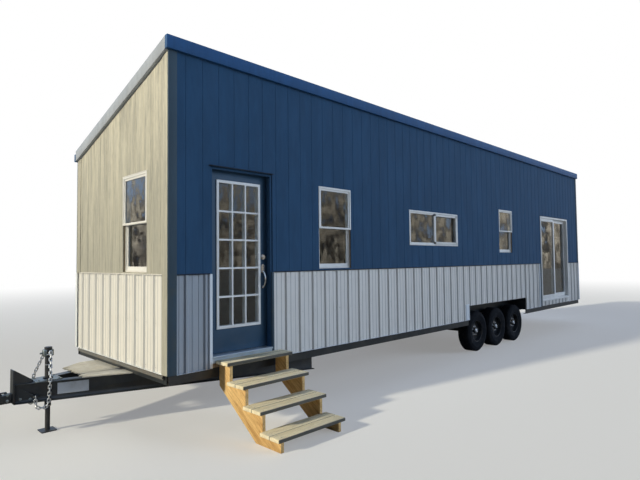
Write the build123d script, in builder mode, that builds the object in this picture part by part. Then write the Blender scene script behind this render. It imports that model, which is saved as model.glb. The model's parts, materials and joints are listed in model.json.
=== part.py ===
from build123d import *
import os
from math import asin, atan2, cos, degrees, pi, radians, sin, tan

os.makedirs("parts", exist_ok=True)

# Tiny house on a triple-axle steel trailer. Millimetres, +Z up, ground at Z = 0.
# X runs along the house with the tongue at -X, and the entry door faces -Y.
# The origin is at the ground below the centre of the outer box, steps and tongue included.

# House body
body_length = 12192
body_width = 2591
panel_bottom = 650
floor_thickness = 105
wall_thickness = 120
siding_thickness = 12
entry_eave = 3975
roof_rise = 777
roof_thickness = 115
fascia_height = 140
fascia_proud = 38
roof_drip = 35

# Ribbed steel cladding on the lower walls and the roof
wainscot_height = 1008
rib_pitch = 228.6
rib_start = 206.4
rib_height = 19
rib_base = 62
rib_crest = 22
sheet = 2
trim_width = 33
board_width = 92
end_board_width = 113
board_thickness = 19

# Entry door
door_left = 509
door_width = 813
door_height = 2032
door_thickness = 45
door_gap = 6
jamb = 19
sill_height = 19
lite_width = 610
lite_above_bottom = 263
lite_below_top = 103
lite_frame_face = 32
lite_frame_proud = 12
lite_bar = 20
lite_columns = 3
lite_rows = 5
glass = 6
handle_backset = 60
handle_height = 920
lock_above_handle = 140
lock_radius = 31
latch_plate_height = 110
latch_plate_width = 56
grip_foot_radius = 17
rose_thickness = 10
lock_cylinder_radius = 22
lock_cylinder = 14
grip_below_latch = 30
grip_drop = 215
grip_stand = 52
grip_radius = 9
inner_rose = 8
knob_neck_radius = 12
knob_neck = 26
knob_radius = 27
knob_length = 28
thumb_turn_width = 10
thumb_turn_height = 34
hinge_radius = 8.2
hinge_height = 100
hinge_leaf = 2.5

# Windows: left or near edge, sill, width and height on their wall, above the ground
window_face = 24
window_depth = 90
window_proud = 4
window_recess = 32
sash_face = 26
sash_bottom_rail = 40
sash_depth = 25
hung_windows = [(2141, 1685, 633, 1091), (7407, 1919, 619, 894)]
slider_left, slider_sill, slider_width, slider_height = 4196, 2024, 1519, 575
end_window_near, end_window_sill, end_window_width, end_window_height = 480, 1681, 616, 1105

# Sliding patio door
patio_to_rear = 803
patio_board_width = 100
patio_sill = 757
patio_width = 1800
patio_height = 2045
patio_face = 45
patio_depth = 122
patio_stile = 72
patio_bottom_rail = 90
patio_panel = 36
patio_overlap = 60
patio_gap = 5
patio_felt = 4
roller_radius = 11
roller_width = 10
roller_inset = 120
roller_clearance = 0.3
track_height = 9
track_width = 6
patio_proud = 10
fixed_depth = 16
patio_pull_width = 26
patio_pull_inset = 20
patio_pull_low = 900
patio_pull_height = 220
patio_pull_stand = 34

# Wheels and running gear
wheel_well_to_rear = 3521
wheel_well_length = 2586
wheel_well_top = 910
wheel_well_depth = 370
wheel_well_sheet = 4
first_wheel_inset = 453
wheel_spacing = 840
tyre_diameter = 776
tyre_width = 235
tyre_inset = 70
rim_diameter = 406
bead_depth = 24
wall_bulge_radius = 300
shoulder_drop = 18
shoulder_depth = 10
tread_inset = 34
rim_sheet = 8
rim_lip = 10
rim_lip_fold = 6
lip_depth = 12
disc_depth = 84
hub_cap_radius = 48
hub_cap_flare = 7
hub_cap_depth = 46
hub_cap_sheet = 2
hub_radius = 60
spindle_radius = 22
hub_clearance = 0.3
axle_tube = 76
track_frame_inset = 470
spring_half = 370
spring_width = 60
eye_rise = 46
leaf = 9
leaf_count = 4
leaf_step = 0.22
eye_radius = 17
shackle_pin_radius = 8
hanger_plate = 8
hanger_gap = 1
hanger_margin = 25
pin_head = 4
hub_face_inset = 62
hub_back_inset = 150
spindle_root = 6

# Chassis and tongue
frame_height = 102
frame_inset = 20
channel_flange = 50
channel_web = 8
crossmember_pitch = 1000
tongue_beam_height = 203
tongue_beam_width = 102
beam_flange = 10
tongue_half_width = 395
tongue_slope = 0.33
tongue_run_back = 2200
mount_plate_x = 1050
mount_plate_height = 337
mount_plate_thickness = 12
mount_above_beam_bottom = 15
gusset_length = 178
gusset_toe = 20
gusset_thickness = 10
gusset_apart = 72
mount_width = 110
coupler_reach = 1360
coupler_above_mount = 8
coupler_height = 92
coupler_half_width = 38
coupler_nose_drop = 18
ball_radius = 29.5
ball_height = 14
nose_radius = 46
deck_length = 450
deck_half_width = 612
deck_splay = 205
deck_bite_pitch = 83
deck_bites = [26, -5, 32, 14, 54, 20, -16]
deck_thickness = 12
jack_x = 720
jack_top = 890
jack_radius = 32
jack_clearance = 0.3
jack_plate_half = 120
jack_foot = 150
jack_foot_thickness = 10
jack_tube_step = 7
jack_head_step = 6
jack_flange = 12
jack_flange_step = 16
jack_plate_thickness = 10
jack_plate_ahead = 148
jack_plate_behind = 110
jack_collar_height = 260
jack_head_height = 70
jack_pin_below_top = 45
jack_pin_radius = 6
jack_pin_reach = 95

# Safety chains: each is fixed to a staple on its beam and hooked over the jack's pin
link_wire = 9.5
link_inside = 36
link_opening = 16
link_slack = 0.6
staple_radius = 6
staple_half = 20
staple_drop = 40
chain_anchor_x = 850
chain_clear = 22
chain_loop_radius = 55
chain_loop_bottom = 245
chain_bend = 150
chain_twist = 0.1
chain_pin_inset = 12
near_chain_crossing = 745
far_chain_crossing = 830

# Entry steps
step_left = 550
step_width = 912
tread_count = 4
landing_height = 728
step_rise = 195.5
step_run = 275
landing_front = 226
tread_thickness = 38
tread_depth = 290
stringer_thickness = 38
stringer_inset = 45
stringer_foot_back = 645
nosing = 25

# Places worked out from the sizes above
roof_slope = roof_rise / body_width
roof_angle = degrees(atan2(roof_rise, body_width))
overall_length = coupler_reach + body_length + fascia_proud
steps_reach = landing_front + (tread_count - 1) * step_run
overall_width = steps_reach + body_width + fascia_proud + roof_drip
bow_x = coupler_reach - overall_length / 2
stern_x = bow_x + body_length
front_y = steps_reach - overall_width / 2
back_y = front_y + body_width
centre_y = front_y + body_width / 2
floor_top = panel_bottom + floor_thickness
wainscot_top = panel_bottom + wainscot_height
trim_proud = rib_height + 2 * sheet - siding_thickness
board_proud = board_thickness - siding_thickness
inner = siding_thickness + wall_thickness
rail_top = panel_bottom - frame_height
patio_right = body_length - patio_to_rear
patio_left = patio_right - patio_width
wheel_well_right = body_length - wheel_well_to_rear
wheel_well_left = wheel_well_right - wheel_well_length
first_wheel = wheel_well_left + first_wheel_inset
beam_bottom = rail_top - tongue_beam_height
wall_start = siding_thickness
wall_end = body_length - siding_thickness
patio_board_left = patio_left - patio_board_width

# Wall planes: local X along the wall seen from outside, local Y up from the ground, local Z outwards
front_face = Plane(origin=(bow_x, front_y, 0), x_dir=(1, 0, 0), z_dir=(0, -1, 0))
back_face = Plane(origin=(stern_x, back_y, 0), x_dir=(-1, 0, 0), z_dir=(0, 1, 0))
tongue_face = Plane(origin=(bow_x, back_y, 0), x_dir=(0, -1, 0), z_dir=(-1, 0, 0))
rear_face = Plane(origin=(stern_x, front_y, 0), x_dir=(0, 1, 0), z_dir=(1, 0, 0))
# Cross-section plane: local X from the entry side to the back, local Y up, extruding along the house
section = Plane(origin=(bow_x, front_y, 0), x_dir=(0, 1, 0), z_dir=(1, 0, 0))
roof_underside = Plane(
    origin=(bow_x, front_y, entry_eave),
    x_dir=(1, 0, 0),
    z_dir=(0, sin(radians(roof_angle)), cos(radians(roof_angle))),
)

pieces = {}


def keep(name, builder):
    builder.part.label = name
    pieces[name] = builder


def area(left, right, bottom, top, mode=Mode.ADD):
    with Locations(((left + right) / 2, (bottom + top) / 2)):
        Rectangle(right - left, top - bottom, mode=mode)


def eave_height(y):
    return entry_eave - roof_slope * y


# Floor platform with a notch over each set of wheels
with BuildPart() as floor_platform:
    with BuildSketch(Plane.XY.offset(panel_bottom)):
        area(bow_x + wall_start, bow_x + wall_end, front_y + siding_thickness, back_y - siding_thickness)
        for edge, inward in ((front_y, 1), (back_y, -1)):
            low, high = sorted((edge, edge + inward * wheel_well_depth))
            area(bow_x + wheel_well_left, bow_x + wheel_well_right, low, high, Mode.SUBTRACT)
    extrude(amount=floor_thickness)
keep("floor_platform", floor_platform)

# Openings in the entry wall
entry_clear_right = door_left + door_width + 2 * door_gap
entry_rough_left = door_left - jamb
entry_rough_right = entry_clear_right + jamb
entry_rough_top = floor_top + sill_height + 2 * door_gap + door_height + jamb
patio_top = patio_sill + patio_height


def front_wall(name, left, right, bottom, holes=()):
    with BuildPart() as wall:
        with BuildSketch(front_face.offset(-siding_thickness)):
            area(left, right, bottom, entry_eave + roof_thickness)
            for hole in holes:
                area(*hole, Mode.SUBTRACT)
        extrude(amount=-wall_thickness)
        split(bisect_by=roof_underside, keep=Keep.BOTTOM)
    keep(name, wall)


window_holes = [(x, x + w, z, z + h) for x, z, w, h in hung_windows]
window_holes.append((slider_left, slider_left + slider_width, slider_sill, slider_sill + slider_height))
wheel_notch = (wheel_well_left, wheel_well_right, 0, wheel_well_top)
front_wall("front_wall_left", wall_start, entry_rough_left, floor_top)
front_wall("front_wall_over_entry", entry_rough_left, entry_rough_right, entry_rough_top)
front_wall("front_wall_middle", entry_rough_right, patio_left, floor_top, window_holes + [wheel_notch])
front_wall("front_wall_over_patio", patio_left, patio_right, patio_top)
front_wall("front_wall_right", patio_right, wall_end, floor_top)

with BuildPart() as back_wall:
    with BuildSketch(back_face.offset(-siding_thickness)):
        area(wall_start, wall_end, floor_top, entry_eave)
        area(body_length - wheel_well_right, body_length - wheel_well_left, 0, wheel_well_top, Mode.SUBTRACT)
    extrude(amount=-wall_thickness)
    split(bisect_by=roof_underside, keep=Keep.BOTTOM)
keep("back_wall", back_wall)


def end_wall(name, face, holes=()):
    with BuildPart() as wall:
        with BuildSketch(face.offset(-siding_thickness)):
            area(inner, body_width - inner, floor_top, entry_eave)
            for hole in holes:
                area(*hole, Mode.SUBTRACT)
        extrude(amount=-wall_thickness)
        split(bisect_by=roof_underside, keep=Keep.BOTTOM)
    keep(name, wall)


end_window_left = body_width - end_window_near - end_window_width
end_window_right = end_window_left + end_window_width
end_hole = (end_window_left, end_window_right, end_window_sill, end_window_sill + end_window_height)
end_wall("tongue_end_wall", tongue_face, [end_hole])
end_wall("rear_end_wall", rear_face)

# Roof: rafter deck, edge boards and ribbed steel sheet
def sloped_board(near, far, height):
    Polygon(
        (near, eave_height(near)),
        (far, eave_height(far)),
        (far, eave_height(far) + height),
        (near, eave_height(near) + height),
        align=None,
    )


with BuildPart() as roof_deck:
    with BuildSketch(section.offset(siding_thickness)):
        sloped_board(siding_thickness, body_width - siding_thickness, roof_thickness)
    extrude(amount=body_length - 2 * siding_thickness)
keep("roof_deck", roof_deck)

back_fascia_top = eave_height(body_width + fascia_proud) + roof_thickness
with BuildPart() as eave_fascias:
    with BuildSketch(section.offset(-fascia_proud)):
        area(-fascia_proud, siding_thickness, entry_eave, entry_eave + fascia_height)
        far_edge = body_width + fascia_proud
        area(body_width - siding_thickness, far_edge, eave_height(body_width), back_fascia_top)
    extrude(amount=body_length + 2 * fascia_proud)
keep("eave_fascias", eave_fascias)


with BuildPart() as rake_fascias:
    for start in (-fascia_proud, body_length - siding_thickness):
        with BuildSketch(section.offset(start)):
            sloped_board(siding_thickness, body_width - siding_thickness, fascia_height)
        extrude(amount=fascia_proud + siding_thickness)
keep("rake_fascias", rake_fascias)


def ribbed_outline(left, right):
    """Outline of a ribbed sheet lying on local Y = 0, with ribs on the common pitch."""
    outer = [(left, 0)]
    count = int((body_length - rib_start) // rib_pitch) + 1
    for index in range(count):
        rib = rib_start + index * rib_pitch
        if rib - rib_base / 2 > left and rib + rib_base / 2 < right:
            outer += [
                (rib - rib_base / 2, 0),
                (rib - rib_crest / 2, rib_height),
                (rib + rib_crest / 2, rib_height),
                (rib + rib_base / 2, 0),
            ]
    outer.append((right, 0))
    shell = [(x, y + sheet) for x, y in outer]
    Polygon(*outer, *reversed(shell), align=None)


roof_top = Plane(
    origin=(bow_x, front_y + siding_thickness, eave_height(siding_thickness) + roof_thickness),
    x_dir=(1, 0, 0),
    z_dir=(0, -cos(radians(roof_angle)), sin(radians(roof_angle))),
)
crest_lean = (rib_height + sheet) * sin(radians(roof_angle))
roof_sheet_across = body_width + fascia_proud + roof_drip - siding_thickness - crest_lean
roof_sheet_run = roof_sheet_across / cos(radians(roof_angle))
with BuildPart() as roof_panels:
    with BuildSketch(roof_top):
        ribbed_outline(siding_thickness, body_length - siding_thickness)
    extrude(amount=-roof_sheet_run)
keep("roof_panels", roof_panels)


# Ribbed steel on the lower walls. Each run is a length of sheet between two trims.
def sheet_run(face, left, right, bottom):
    foot = face.from_local_coords((0, bottom, -siding_thickness))
    with BuildSketch(Plane(origin=foot, x_dir=face.x_dir, z_dir=-face.y_dir)) as run:
        ribbed_outline(left, right)
    return run.sketch


with BuildPart() as side_wainscot:
    front_runs = [
        (board_width, door_left - trim_width),
        (entry_clear_right + trim_width, patio_board_left - trim_width),
        (patio_right, body_length - siding_thickness),
    ]
    for left, right in front_runs:
        extrude(sheet_run(front_face, left, right, panel_bottom), amount=-wainscot_height)
    extrude(sheet_run(front_face, patio_left, patio_right, panel_bottom), amount=panel_bottom - patio_sill)
    extrude(
        sheet_run(back_face, siding_thickness, body_length - siding_thickness, panel_bottom),
        amount=-wainscot_height,
    )
    for face, left in ((front_face, wheel_well_left), (back_face, body_length - wheel_well_right)):
        with BuildSketch(face.offset(trim_proud)):
            area(left, left + wheel_well_right - wheel_well_left, 0, wheel_well_top)
        extrude(amount=-trim_proud - siding_thickness, mode=Mode.SUBTRACT)
keep("side_wainscot", side_wainscot)

with BuildPart() as end_wainscot:
    tongue_run_end = body_width - end_board_width - siding_thickness
    extrude(sheet_run(tongue_face, siding_thickness, tongue_run_end, panel_bottom), amount=-wainscot_height)
    extrude(
        sheet_run(rear_face, siding_thickness, body_width - siding_thickness, panel_bottom),
        amount=-wainscot_height,
    )
keep("end_wainscot", end_wainscot)

# Folded steel trims: upright channels beside openings and angles at three corners
corner_fold = trim_proud + siding_thickness
corners = {
    "rear_entry": (stern_x - siding_thickness, front_y + siding_thickness, 1, -1),
    "rear_back": (stern_x - siding_thickness, back_y - siding_thickness, 1, 1),
    "tongue_back": (bow_x + siding_thickness, back_y - siding_thickness, -1, 1),
}
with BuildPart() as wainscot_trims:
    with BuildSketch(front_face.offset(-siding_thickness)):
        area(door_left - trim_width, door_left, panel_bottom, wainscot_top)
        area(patio_board_left - trim_width, patio_board_left, panel_bottom, wainscot_top)
    extrude(amount=corner_fold)
    for x, y, side_x, side_y in corners.values():
        angle = [
            (0, 0),
            (corner_fold - sheet, 0),
            (corner_fold - sheet, -trim_width),
            (corner_fold, -trim_width),
            (corner_fold, corner_fold),
            (-trim_width, corner_fold),
            (-trim_width, corner_fold - sheet),
            (0, corner_fold - sheet),
        ]
        with BuildSketch(Plane.XY.offset(panel_bottom)):
            Polygon(*[(x + side_x * u, y + side_y * v) for u, v in angle], align=None)
        extrude(amount=wainscot_height)
keep("wainscot_trims", wainscot_trims)

# Corner boards: the entry corner's boards run to the bottom, the others stand on the cladding
with BuildPart() as side_corner_boards:
    with BuildSketch(front_face.offset(-siding_thickness)):
        area(-board_proud, board_width, panel_bottom, entry_eave)
        area(body_length - board_width, body_length + board_proud, wainscot_top, entry_eave)
        area(patio_board_left, patio_left, panel_bottom, wainscot_top)
        area(entry_clear_right, entry_clear_right + trim_width, panel_bottom, wainscot_top)
    extrude(amount=board_thickness)
    with BuildSketch(back_face.offset(-siding_thickness)):
        for left in (-board_proud, body_length - board_width):
            area(left, left + board_width + board_proud, wainscot_top, eave_height(body_width))
    extrude(amount=board_thickness)
keep("side_corner_boards", side_corner_boards)

with BuildPart() as end_corner_boards:
    for face in (tongue_face, rear_face):
        entry_edge = body_width - siding_thickness if face is tongue_face else siding_thickness
        entry_inward = -end_board_width if face is tongue_face else end_board_width
        entry_foot = panel_bottom if face is tongue_face else wainscot_top
        back_edge = siding_thickness if face is tongue_face else body_width - siding_thickness
        with BuildSketch(face.offset(-siding_thickness)):
            low, high = sorted((entry_edge, entry_edge + entry_inward))
            area(low, high, entry_foot, entry_eave)
            low, high = sorted((back_edge, back_edge - entry_inward))
            area(low, high, wainscot_top, entry_eave)
        extrude(amount=board_thickness)
    split(bisect_by=roof_underside, keep=Keep.BOTTOM)
keep("end_corner_boards", end_corner_boards)

# Entry door frame: jambs and head with the stop that an inward-opening slab closes against
door_face = inner - door_thickness
stop = door_gap + 4
stop_depth = door_face - 5
entry_head = entry_rough_top - jamb
with BuildPart() as entry_frame:
    with BuildSketch(front_face.offset(-siding_thickness)):
        area(entry_rough_left, entry_rough_right, floor_top, entry_rough_top)
        area(door_left, entry_clear_right, floor_top, entry_head, Mode.SUBTRACT)
    extrude(amount=-wall_thickness)
    with BuildSketch(front_face.offset(-siding_thickness)):
        area(door_left, entry_clear_right, floor_top + sill_height, entry_head)
        area(door_left + stop, entry_clear_right - stop, 0, entry_head - stop, Mode.SUBTRACT)
    extrude(amount=siding_thickness - stop_depth)
keep("entry_frame", entry_frame)

with BuildPart() as entry_threshold:
    with BuildSketch(front_face.offset(board_thickness)):
        area(door_left, entry_clear_right, floor_top, floor_top + sill_height)
    extrude(amount=-board_thickness - inner)
keep("entry_threshold", entry_threshold)

slab_left = door_left + door_gap
slab_right = slab_left + door_width
slab_bottom = floor_top + sill_height + door_gap
slab_top = slab_bottom + door_height
lite_left = slab_left + (door_width - lite_width) / 2
lite_bottom = slab_bottom + lite_above_bottom
lite_height = door_height - lite_above_bottom - lite_below_top
lite_overlap = 25
with BuildPart() as entry_door:
    with BuildSketch(front_face.offset(-door_face)):
        area(slab_left, slab_right, slab_bottom, slab_top)
        area(
            lite_left + lite_overlap,
            lite_left + lite_width - lite_overlap,
            lite_bottom + lite_overlap,
            lite_bottom + lite_height - lite_overlap,
            Mode.SUBTRACT,
        )
    extrude(amount=-door_thickness)
keep("entry_door", entry_door)

# Divided glazing of the entry door
glass_depth = door_face + (door_thickness - glass) / 2
pane_left = lite_left + lite_frame_face
pane_right = lite_left + lite_width - lite_frame_face
pane_bottom = lite_bottom + lite_frame_face
pane_top = lite_bottom + lite_height - lite_frame_face
bar_depth = door_thickness / 2 - glass / 2 + lite_frame_proud - 4
with BuildPart() as entry_lite_frame:
    for start, amount in ((door_face - lite_frame_proud, lite_frame_proud), (inner, lite_frame_proud)):
        with BuildSketch(front_face.offset(-start)):
            area(lite_left, lite_left + lite_width, lite_bottom, lite_bottom + lite_height)
            area(pane_left, pane_right, pane_bottom, pane_top, Mode.SUBTRACT)
        extrude(amount=-amount)
    with BuildSketch(front_face.offset(-door_face)):
        area(
            lite_left + lite_overlap,
            lite_left + lite_width - lite_overlap,
            lite_bottom + lite_overlap,
            lite_bottom + lite_height - lite_overlap,
        )
        area(pane_left, pane_right, pane_bottom, pane_top, Mode.SUBTRACT)
    extrude(amount=-door_thickness)
    column = (pane_right - pane_left) / lite_columns
    row = (pane_top - pane_bottom) / lite_rows
    for start in (glass_depth - bar_depth, glass_depth + glass):
        with BuildSketch(front_face.offset(-start)):
            for index in range(1, lite_columns):
                middle = pane_left + index * column
                area(middle - lite_bar / 2, middle + lite_bar / 2, pane_bottom, pane_top)
            for index in range(1, lite_rows):
                middle = pane_bottom + index * row
                area(pane_left, pane_right, middle - lite_bar / 2, middle + lite_bar / 2)
        extrude(amount=-bar_depth)
keep("entry_lite_frame", entry_lite_frame)

with BuildPart() as entry_glass:
    with BuildSketch(front_face.offset(-glass_depth)):
        area(pane_left, pane_right, pane_bottom, pane_top)
    extrude(amount=-glass)
keep("entry_glass", entry_glass)

# Hinges: a barrel in the gap at the inner face, with a leaf let into the jamb
pin_x = door_left + door_gap / 2
pin_depth = inner + 8
with BuildPart() as entry_hinges:
    for height in (slab_bottom + 250, (slab_bottom + slab_top) / 2, slab_top - 180):
        centre = front_face.from_local_coords((pin_x, height, -pin_depth))
        with BuildSketch(Plane(origin=centre, z_dir=(0, 0, 1))):
            Circle(hinge_radius)
        extrude(amount=hinge_height / 2, both=True)
        with BuildSketch(front_face.offset(-inner + 30)):
            area(door_left, door_left + hinge_leaf, height - hinge_height / 2, height + hinge_height / 2)
        extrude(amount=-30 - pin_depth + inner)
keep("entry_hinges", entry_hinges)

# Entry handle: lock rose, latch plate and bow grip outside, knob and thumb turn inside
handle_x = slab_right - handle_backset
handle_z = slab_bottom + handle_height
lock_z = handle_z + lock_above_handle
with BuildPart() as entry_handle:
    with BuildSketch(front_face.offset(-door_face)):
        with Locations((handle_x, lock_z)):
            Circle(lock_radius)
        with Locations((handle_x, handle_z)):
            SlotOverall(latch_plate_height, latch_plate_width, rotation=90)
        with Locations((handle_x, handle_z - grip_drop)):
            Circle(grip_foot_radius)
    extrude(amount=rose_thickness)
    with BuildSketch(front_face.offset(rose_thickness - door_face)):
        with Locations((handle_x, lock_z)):
            Circle(lock_cylinder_radius)
    extrude(amount=lock_cylinder)
    grip_root = rose_thickness - door_face
    grip_height = handle_z - grip_below_latch
    grip_belly = grip_height - (grip_drop - grip_below_latch) * 0.55
    with BuildLine() as grip_path:
        ThreePointArc(
            front_face.from_local_coords((handle_x, grip_height, grip_root)),
            front_face.from_local_coords((handle_x, grip_belly, grip_stand - door_face)),
            front_face.from_local_coords((handle_x, handle_z - grip_drop, grip_root)),
        )
    with BuildSketch(Plane(origin=grip_path.line @ 0, z_dir=grip_path.line % 0)):
        Circle(grip_radius)
    sweep(path=grip_path.line)
    with BuildSketch(front_face.offset(-inner)):
        for z in (lock_z, handle_z):
            with Locations((handle_x, z)):
                Circle(lock_radius)
    extrude(amount=-inner_rose)
    with BuildSketch(front_face.offset(-inner - inner_rose)):
        with Locations((handle_x, handle_z)):
            Circle(knob_neck_radius)
        with Locations((handle_x, lock_z)):
            Rectangle(thumb_turn_width, thumb_turn_height)
    extrude(amount=-knob_neck)
    with BuildSketch(front_face.offset(-inner - inner_rose - knob_neck)):
        with Locations((handle_x, handle_z)):
            Circle(knob_radius)
    extrude(amount=-knob_length, taper=12)
keep("entry_handle", entry_handle)


# White vinyl windows. Depths are measured inwards from the siding face.
def framed(face, left, right, bottom, top, border, near, far):
    """A rectangular ring from one depth to another."""
    with BuildPart() as ring:
        with BuildSketch(face.offset(-near)):
            area(left, right, bottom, top)
            area(left + border, right - border, bottom + border, top - border, Mode.SUBTRACT)
        extrude(amount=near - far)
    return ring.part


def pane(face, left, right, bottom, top, depth):
    with BuildPart() as sheet_of_glass:
        with BuildSketch(face.offset(-depth)):
            area(left, right, bottom, top)
        extrude(amount=-glass)
    return sheet_of_glass.part


outer_sash_near = window_proud + 2
inner_sash_near = window_recess + 12
panes = []


def sash(face, left, right, bottom, top, near, bottom_rail):
    """One glazed sash ring and its sheet of glass."""
    with BuildPart() as ring:
        with BuildSketch(face.offset(-near)):
            area(left, right, bottom, top)
            area(left + sash_face, right - sash_face, bottom + bottom_rail, top - sash_face, Mode.SUBTRACT)
        extrude(amount=-sash_depth)
    glass_near = near + (sash_depth - glass) / 2
    panes.append(
        pane(face, left + sash_face, right - sash_face, bottom + bottom_rail, top - sash_face, glass_near)
    )
    return ring.part


def hung_window(face, left, sill, width, height):
    """A fixed upper sash flush with the siding and a lower sash set back behind it."""
    right, top = left + width, sill + height
    middle = (sill + top) / 2
    near, far = left + window_face, right - window_face
    low, high = sill + window_face, top - window_face
    meeting = middle - sash_face / 2
    back = window_depth - window_proud
    with BuildPart() as window:
        add(framed(face, left, right, sill, top, window_face, window_recess, back))
        add(framed(face, left, right, meeting, top, window_face, -window_proud, window_recess))
        add(sash(face, near, far, meeting, high, outer_sash_near, sash_face))
        add(sash(face, near, far, low, meeting + sash_face, inner_sash_near, sash_bottom_rail))
    return window.part


def slider_window(face, left, sill, width, height):
    """Two side-by-side sashes that pass at the middle."""
    right, top = left + width, sill + height
    middle = (left + right) / 2
    near, far = left + window_face, right - window_face
    low, high = sill + window_face, top - window_face
    back = window_depth - window_proud
    with BuildPart() as window:
        add(framed(face, left, right, sill, top, window_face, -window_proud, back))
        add(sash(face, near, middle + sash_face / 2, low, high, outer_sash_near, sash_face))
        add(sash(face, middle - sash_face / 2, far, low, high, outer_sash_near + sash_depth, sash_face))
    return window.part


with BuildPart() as hung_window_frames:
    for opening in hung_windows:
        add(hung_window(front_face, *opening))
    add(hung_window(tongue_face, end_window_left, end_window_sill, end_window_width, end_window_height))
keep("hung_window_frames", hung_window_frames)

with BuildPart() as slider_window_frame:
    add(slider_window(front_face, slider_left, slider_sill, slider_width, slider_height))
keep("slider_window_frame", slider_window_frame)

with BuildPart() as window_glass:
    for sheet_of_glass in panes:
        add(sheet_of_glass)
keep("window_glass", window_glass)

# Patio door: frame with a track, a fixed panel outside and a sliding panel inside
sliding_depth = fixed_depth + patio_panel + patio_gap + patio_felt
clear_left = patio_left + patio_face
clear_right = patio_right - patio_face
clear_bottom = patio_sill + patio_face
clear_top = patio_top - patio_face
patio_middle = (clear_left + clear_right) / 2
track_depth = sliding_depth + patio_panel / 2
with BuildPart() as patio_frame:
    add(
        framed(
            front_face, patio_left, patio_right, patio_sill, patio_top, patio_face,
            -patio_proud, patio_depth - patio_proud,
        )
    )
    with BuildSketch(front_face.offset(track_width / 2 - track_depth)):
        area(clear_left, clear_right, clear_bottom, clear_bottom + track_height)
    extrude(amount=-track_width)
keep("patio_frame", patio_frame)


def glazed_panel(left, right, bottom, top, depth):
    with BuildPart() as panel:
        with BuildSketch(front_face.offset(-depth)):
            area(left, right, bottom, top)
            area(
                left + patio_stile,
                right - patio_stile,
                bottom + patio_bottom_rail,
                top - patio_stile,
                Mode.SUBTRACT,
            )
        extrude(amount=-patio_panel)
    glazing = pane(
        front_face,
        left + patio_stile,
        right - patio_stile,
        bottom + patio_bottom_rail,
        top - patio_stile,
        depth + (patio_panel - glass) / 2,
    )
    return panel, glazing


fixed_right = patio_middle + patio_overlap / 2
sliding_left = patio_middle - patio_overlap / 2
sliding_right = clear_right - patio_gap
sliding_bottom = clear_bottom + track_height + patio_gap
sliding_top = clear_top - patio_gap
patio_fixed_panel, fixed_glazing = glazed_panel(clear_left, fixed_right, clear_bottom, clear_top, fixed_depth)
keep("patio_fixed_panel", patio_fixed_panel)

sliding_panel, sliding_glazing = glazed_panel(
    sliding_left, sliding_right, sliding_bottom, sliding_top, sliding_depth
)
with BuildPart() as patio_sliding_panel:
    add(sliding_panel.part)
    for x in (sliding_left + roller_inset, sliding_right - roller_inset):
        with BuildSketch(front_face.offset(roller_width / 2 - track_depth)):
            with Locations((x, clear_bottom + track_height + roller_clearance + roller_radius)):
                Circle(roller_radius)
        extrude(amount=-roller_width)
    pull_right = sliding_right - patio_pull_inset
    pull_bottom = sliding_bottom + patio_pull_low
    with BuildSketch(front_face.offset(-sliding_depth - patio_panel)):
        area(pull_right - patio_pull_width, pull_right, pull_bottom, pull_bottom + patio_pull_height)
    extrude(amount=-patio_pull_stand)
keep("patio_sliding_panel", patio_sliding_panel)

for name, glazing in (("patio_fixed_glass", fixed_glazing), ("patio_sliding_glass", sliding_glazing)):
    with BuildPart() as glazing_piece:
        add(glazing)
    keep(name, glazing_piece)

# Steel boxes over the wheels, open below and towards the outside
with BuildPart() as wheel_boxes:
    for face, left in ((front_face, wheel_well_left), (back_face, body_length - wheel_well_right)):
        right = left + wheel_well_right - wheel_well_left
        with BuildSketch(face.offset(-siding_thickness)):
            area(left, right, panel_bottom, wheel_well_top)
        extrude(amount=siding_thickness - wheel_well_depth)
        with BuildSketch(face.offset(-siding_thickness)):
            box_top = wheel_well_top - wheel_well_sheet
            area(left + wheel_well_sheet, right - wheel_well_sheet, panel_bottom, box_top)
        extrude(amount=siding_thickness - wheel_well_depth + wheel_well_sheet, mode=Mode.SUBTRACT)
keep("wheel_boxes", wheel_boxes)


# Chassis: channels lying on their webs' height, flanges turned inwards
def channel(outer, inner_edge, bottom=rail_top):
    """Section of a channel between two positions across it, opening towards the second."""
    web_face = outer + channel_web if inner_edge > outer else outer - channel_web
    area(min(outer, inner_edge), max(outer, inner_edge), bottom, bottom + frame_height)
    low, high = bottom + channel_web, bottom + frame_height - channel_web
    area(min(web_face, inner_edge), max(web_face, inner_edge), low, high, Mode.SUBTRACT)


chassis_start = frame_inset
chassis_end = body_length - frame_inset
inner_rail = track_frame_inset
with BuildPart() as chassis_rails:
    for start, end in ((chassis_start, wheel_well_left), (wheel_well_right, chassis_end)):
        with BuildSketch(section.offset(start)):
            channel(frame_inset, frame_inset + channel_flange)
            channel(body_width - frame_inset, body_width - frame_inset - channel_flange)
        extrude(amount=end - start)
    with BuildSketch(section.offset(chassis_start + channel_flange)):
        channel(inner_rail, inner_rail + channel_flange)
        channel(body_width - inner_rail, body_width - inner_rail - channel_flange)
    extrude(amount=chassis_end - chassis_start - 2 * channel_flange)
keep("chassis_rails", chassis_rails)

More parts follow.
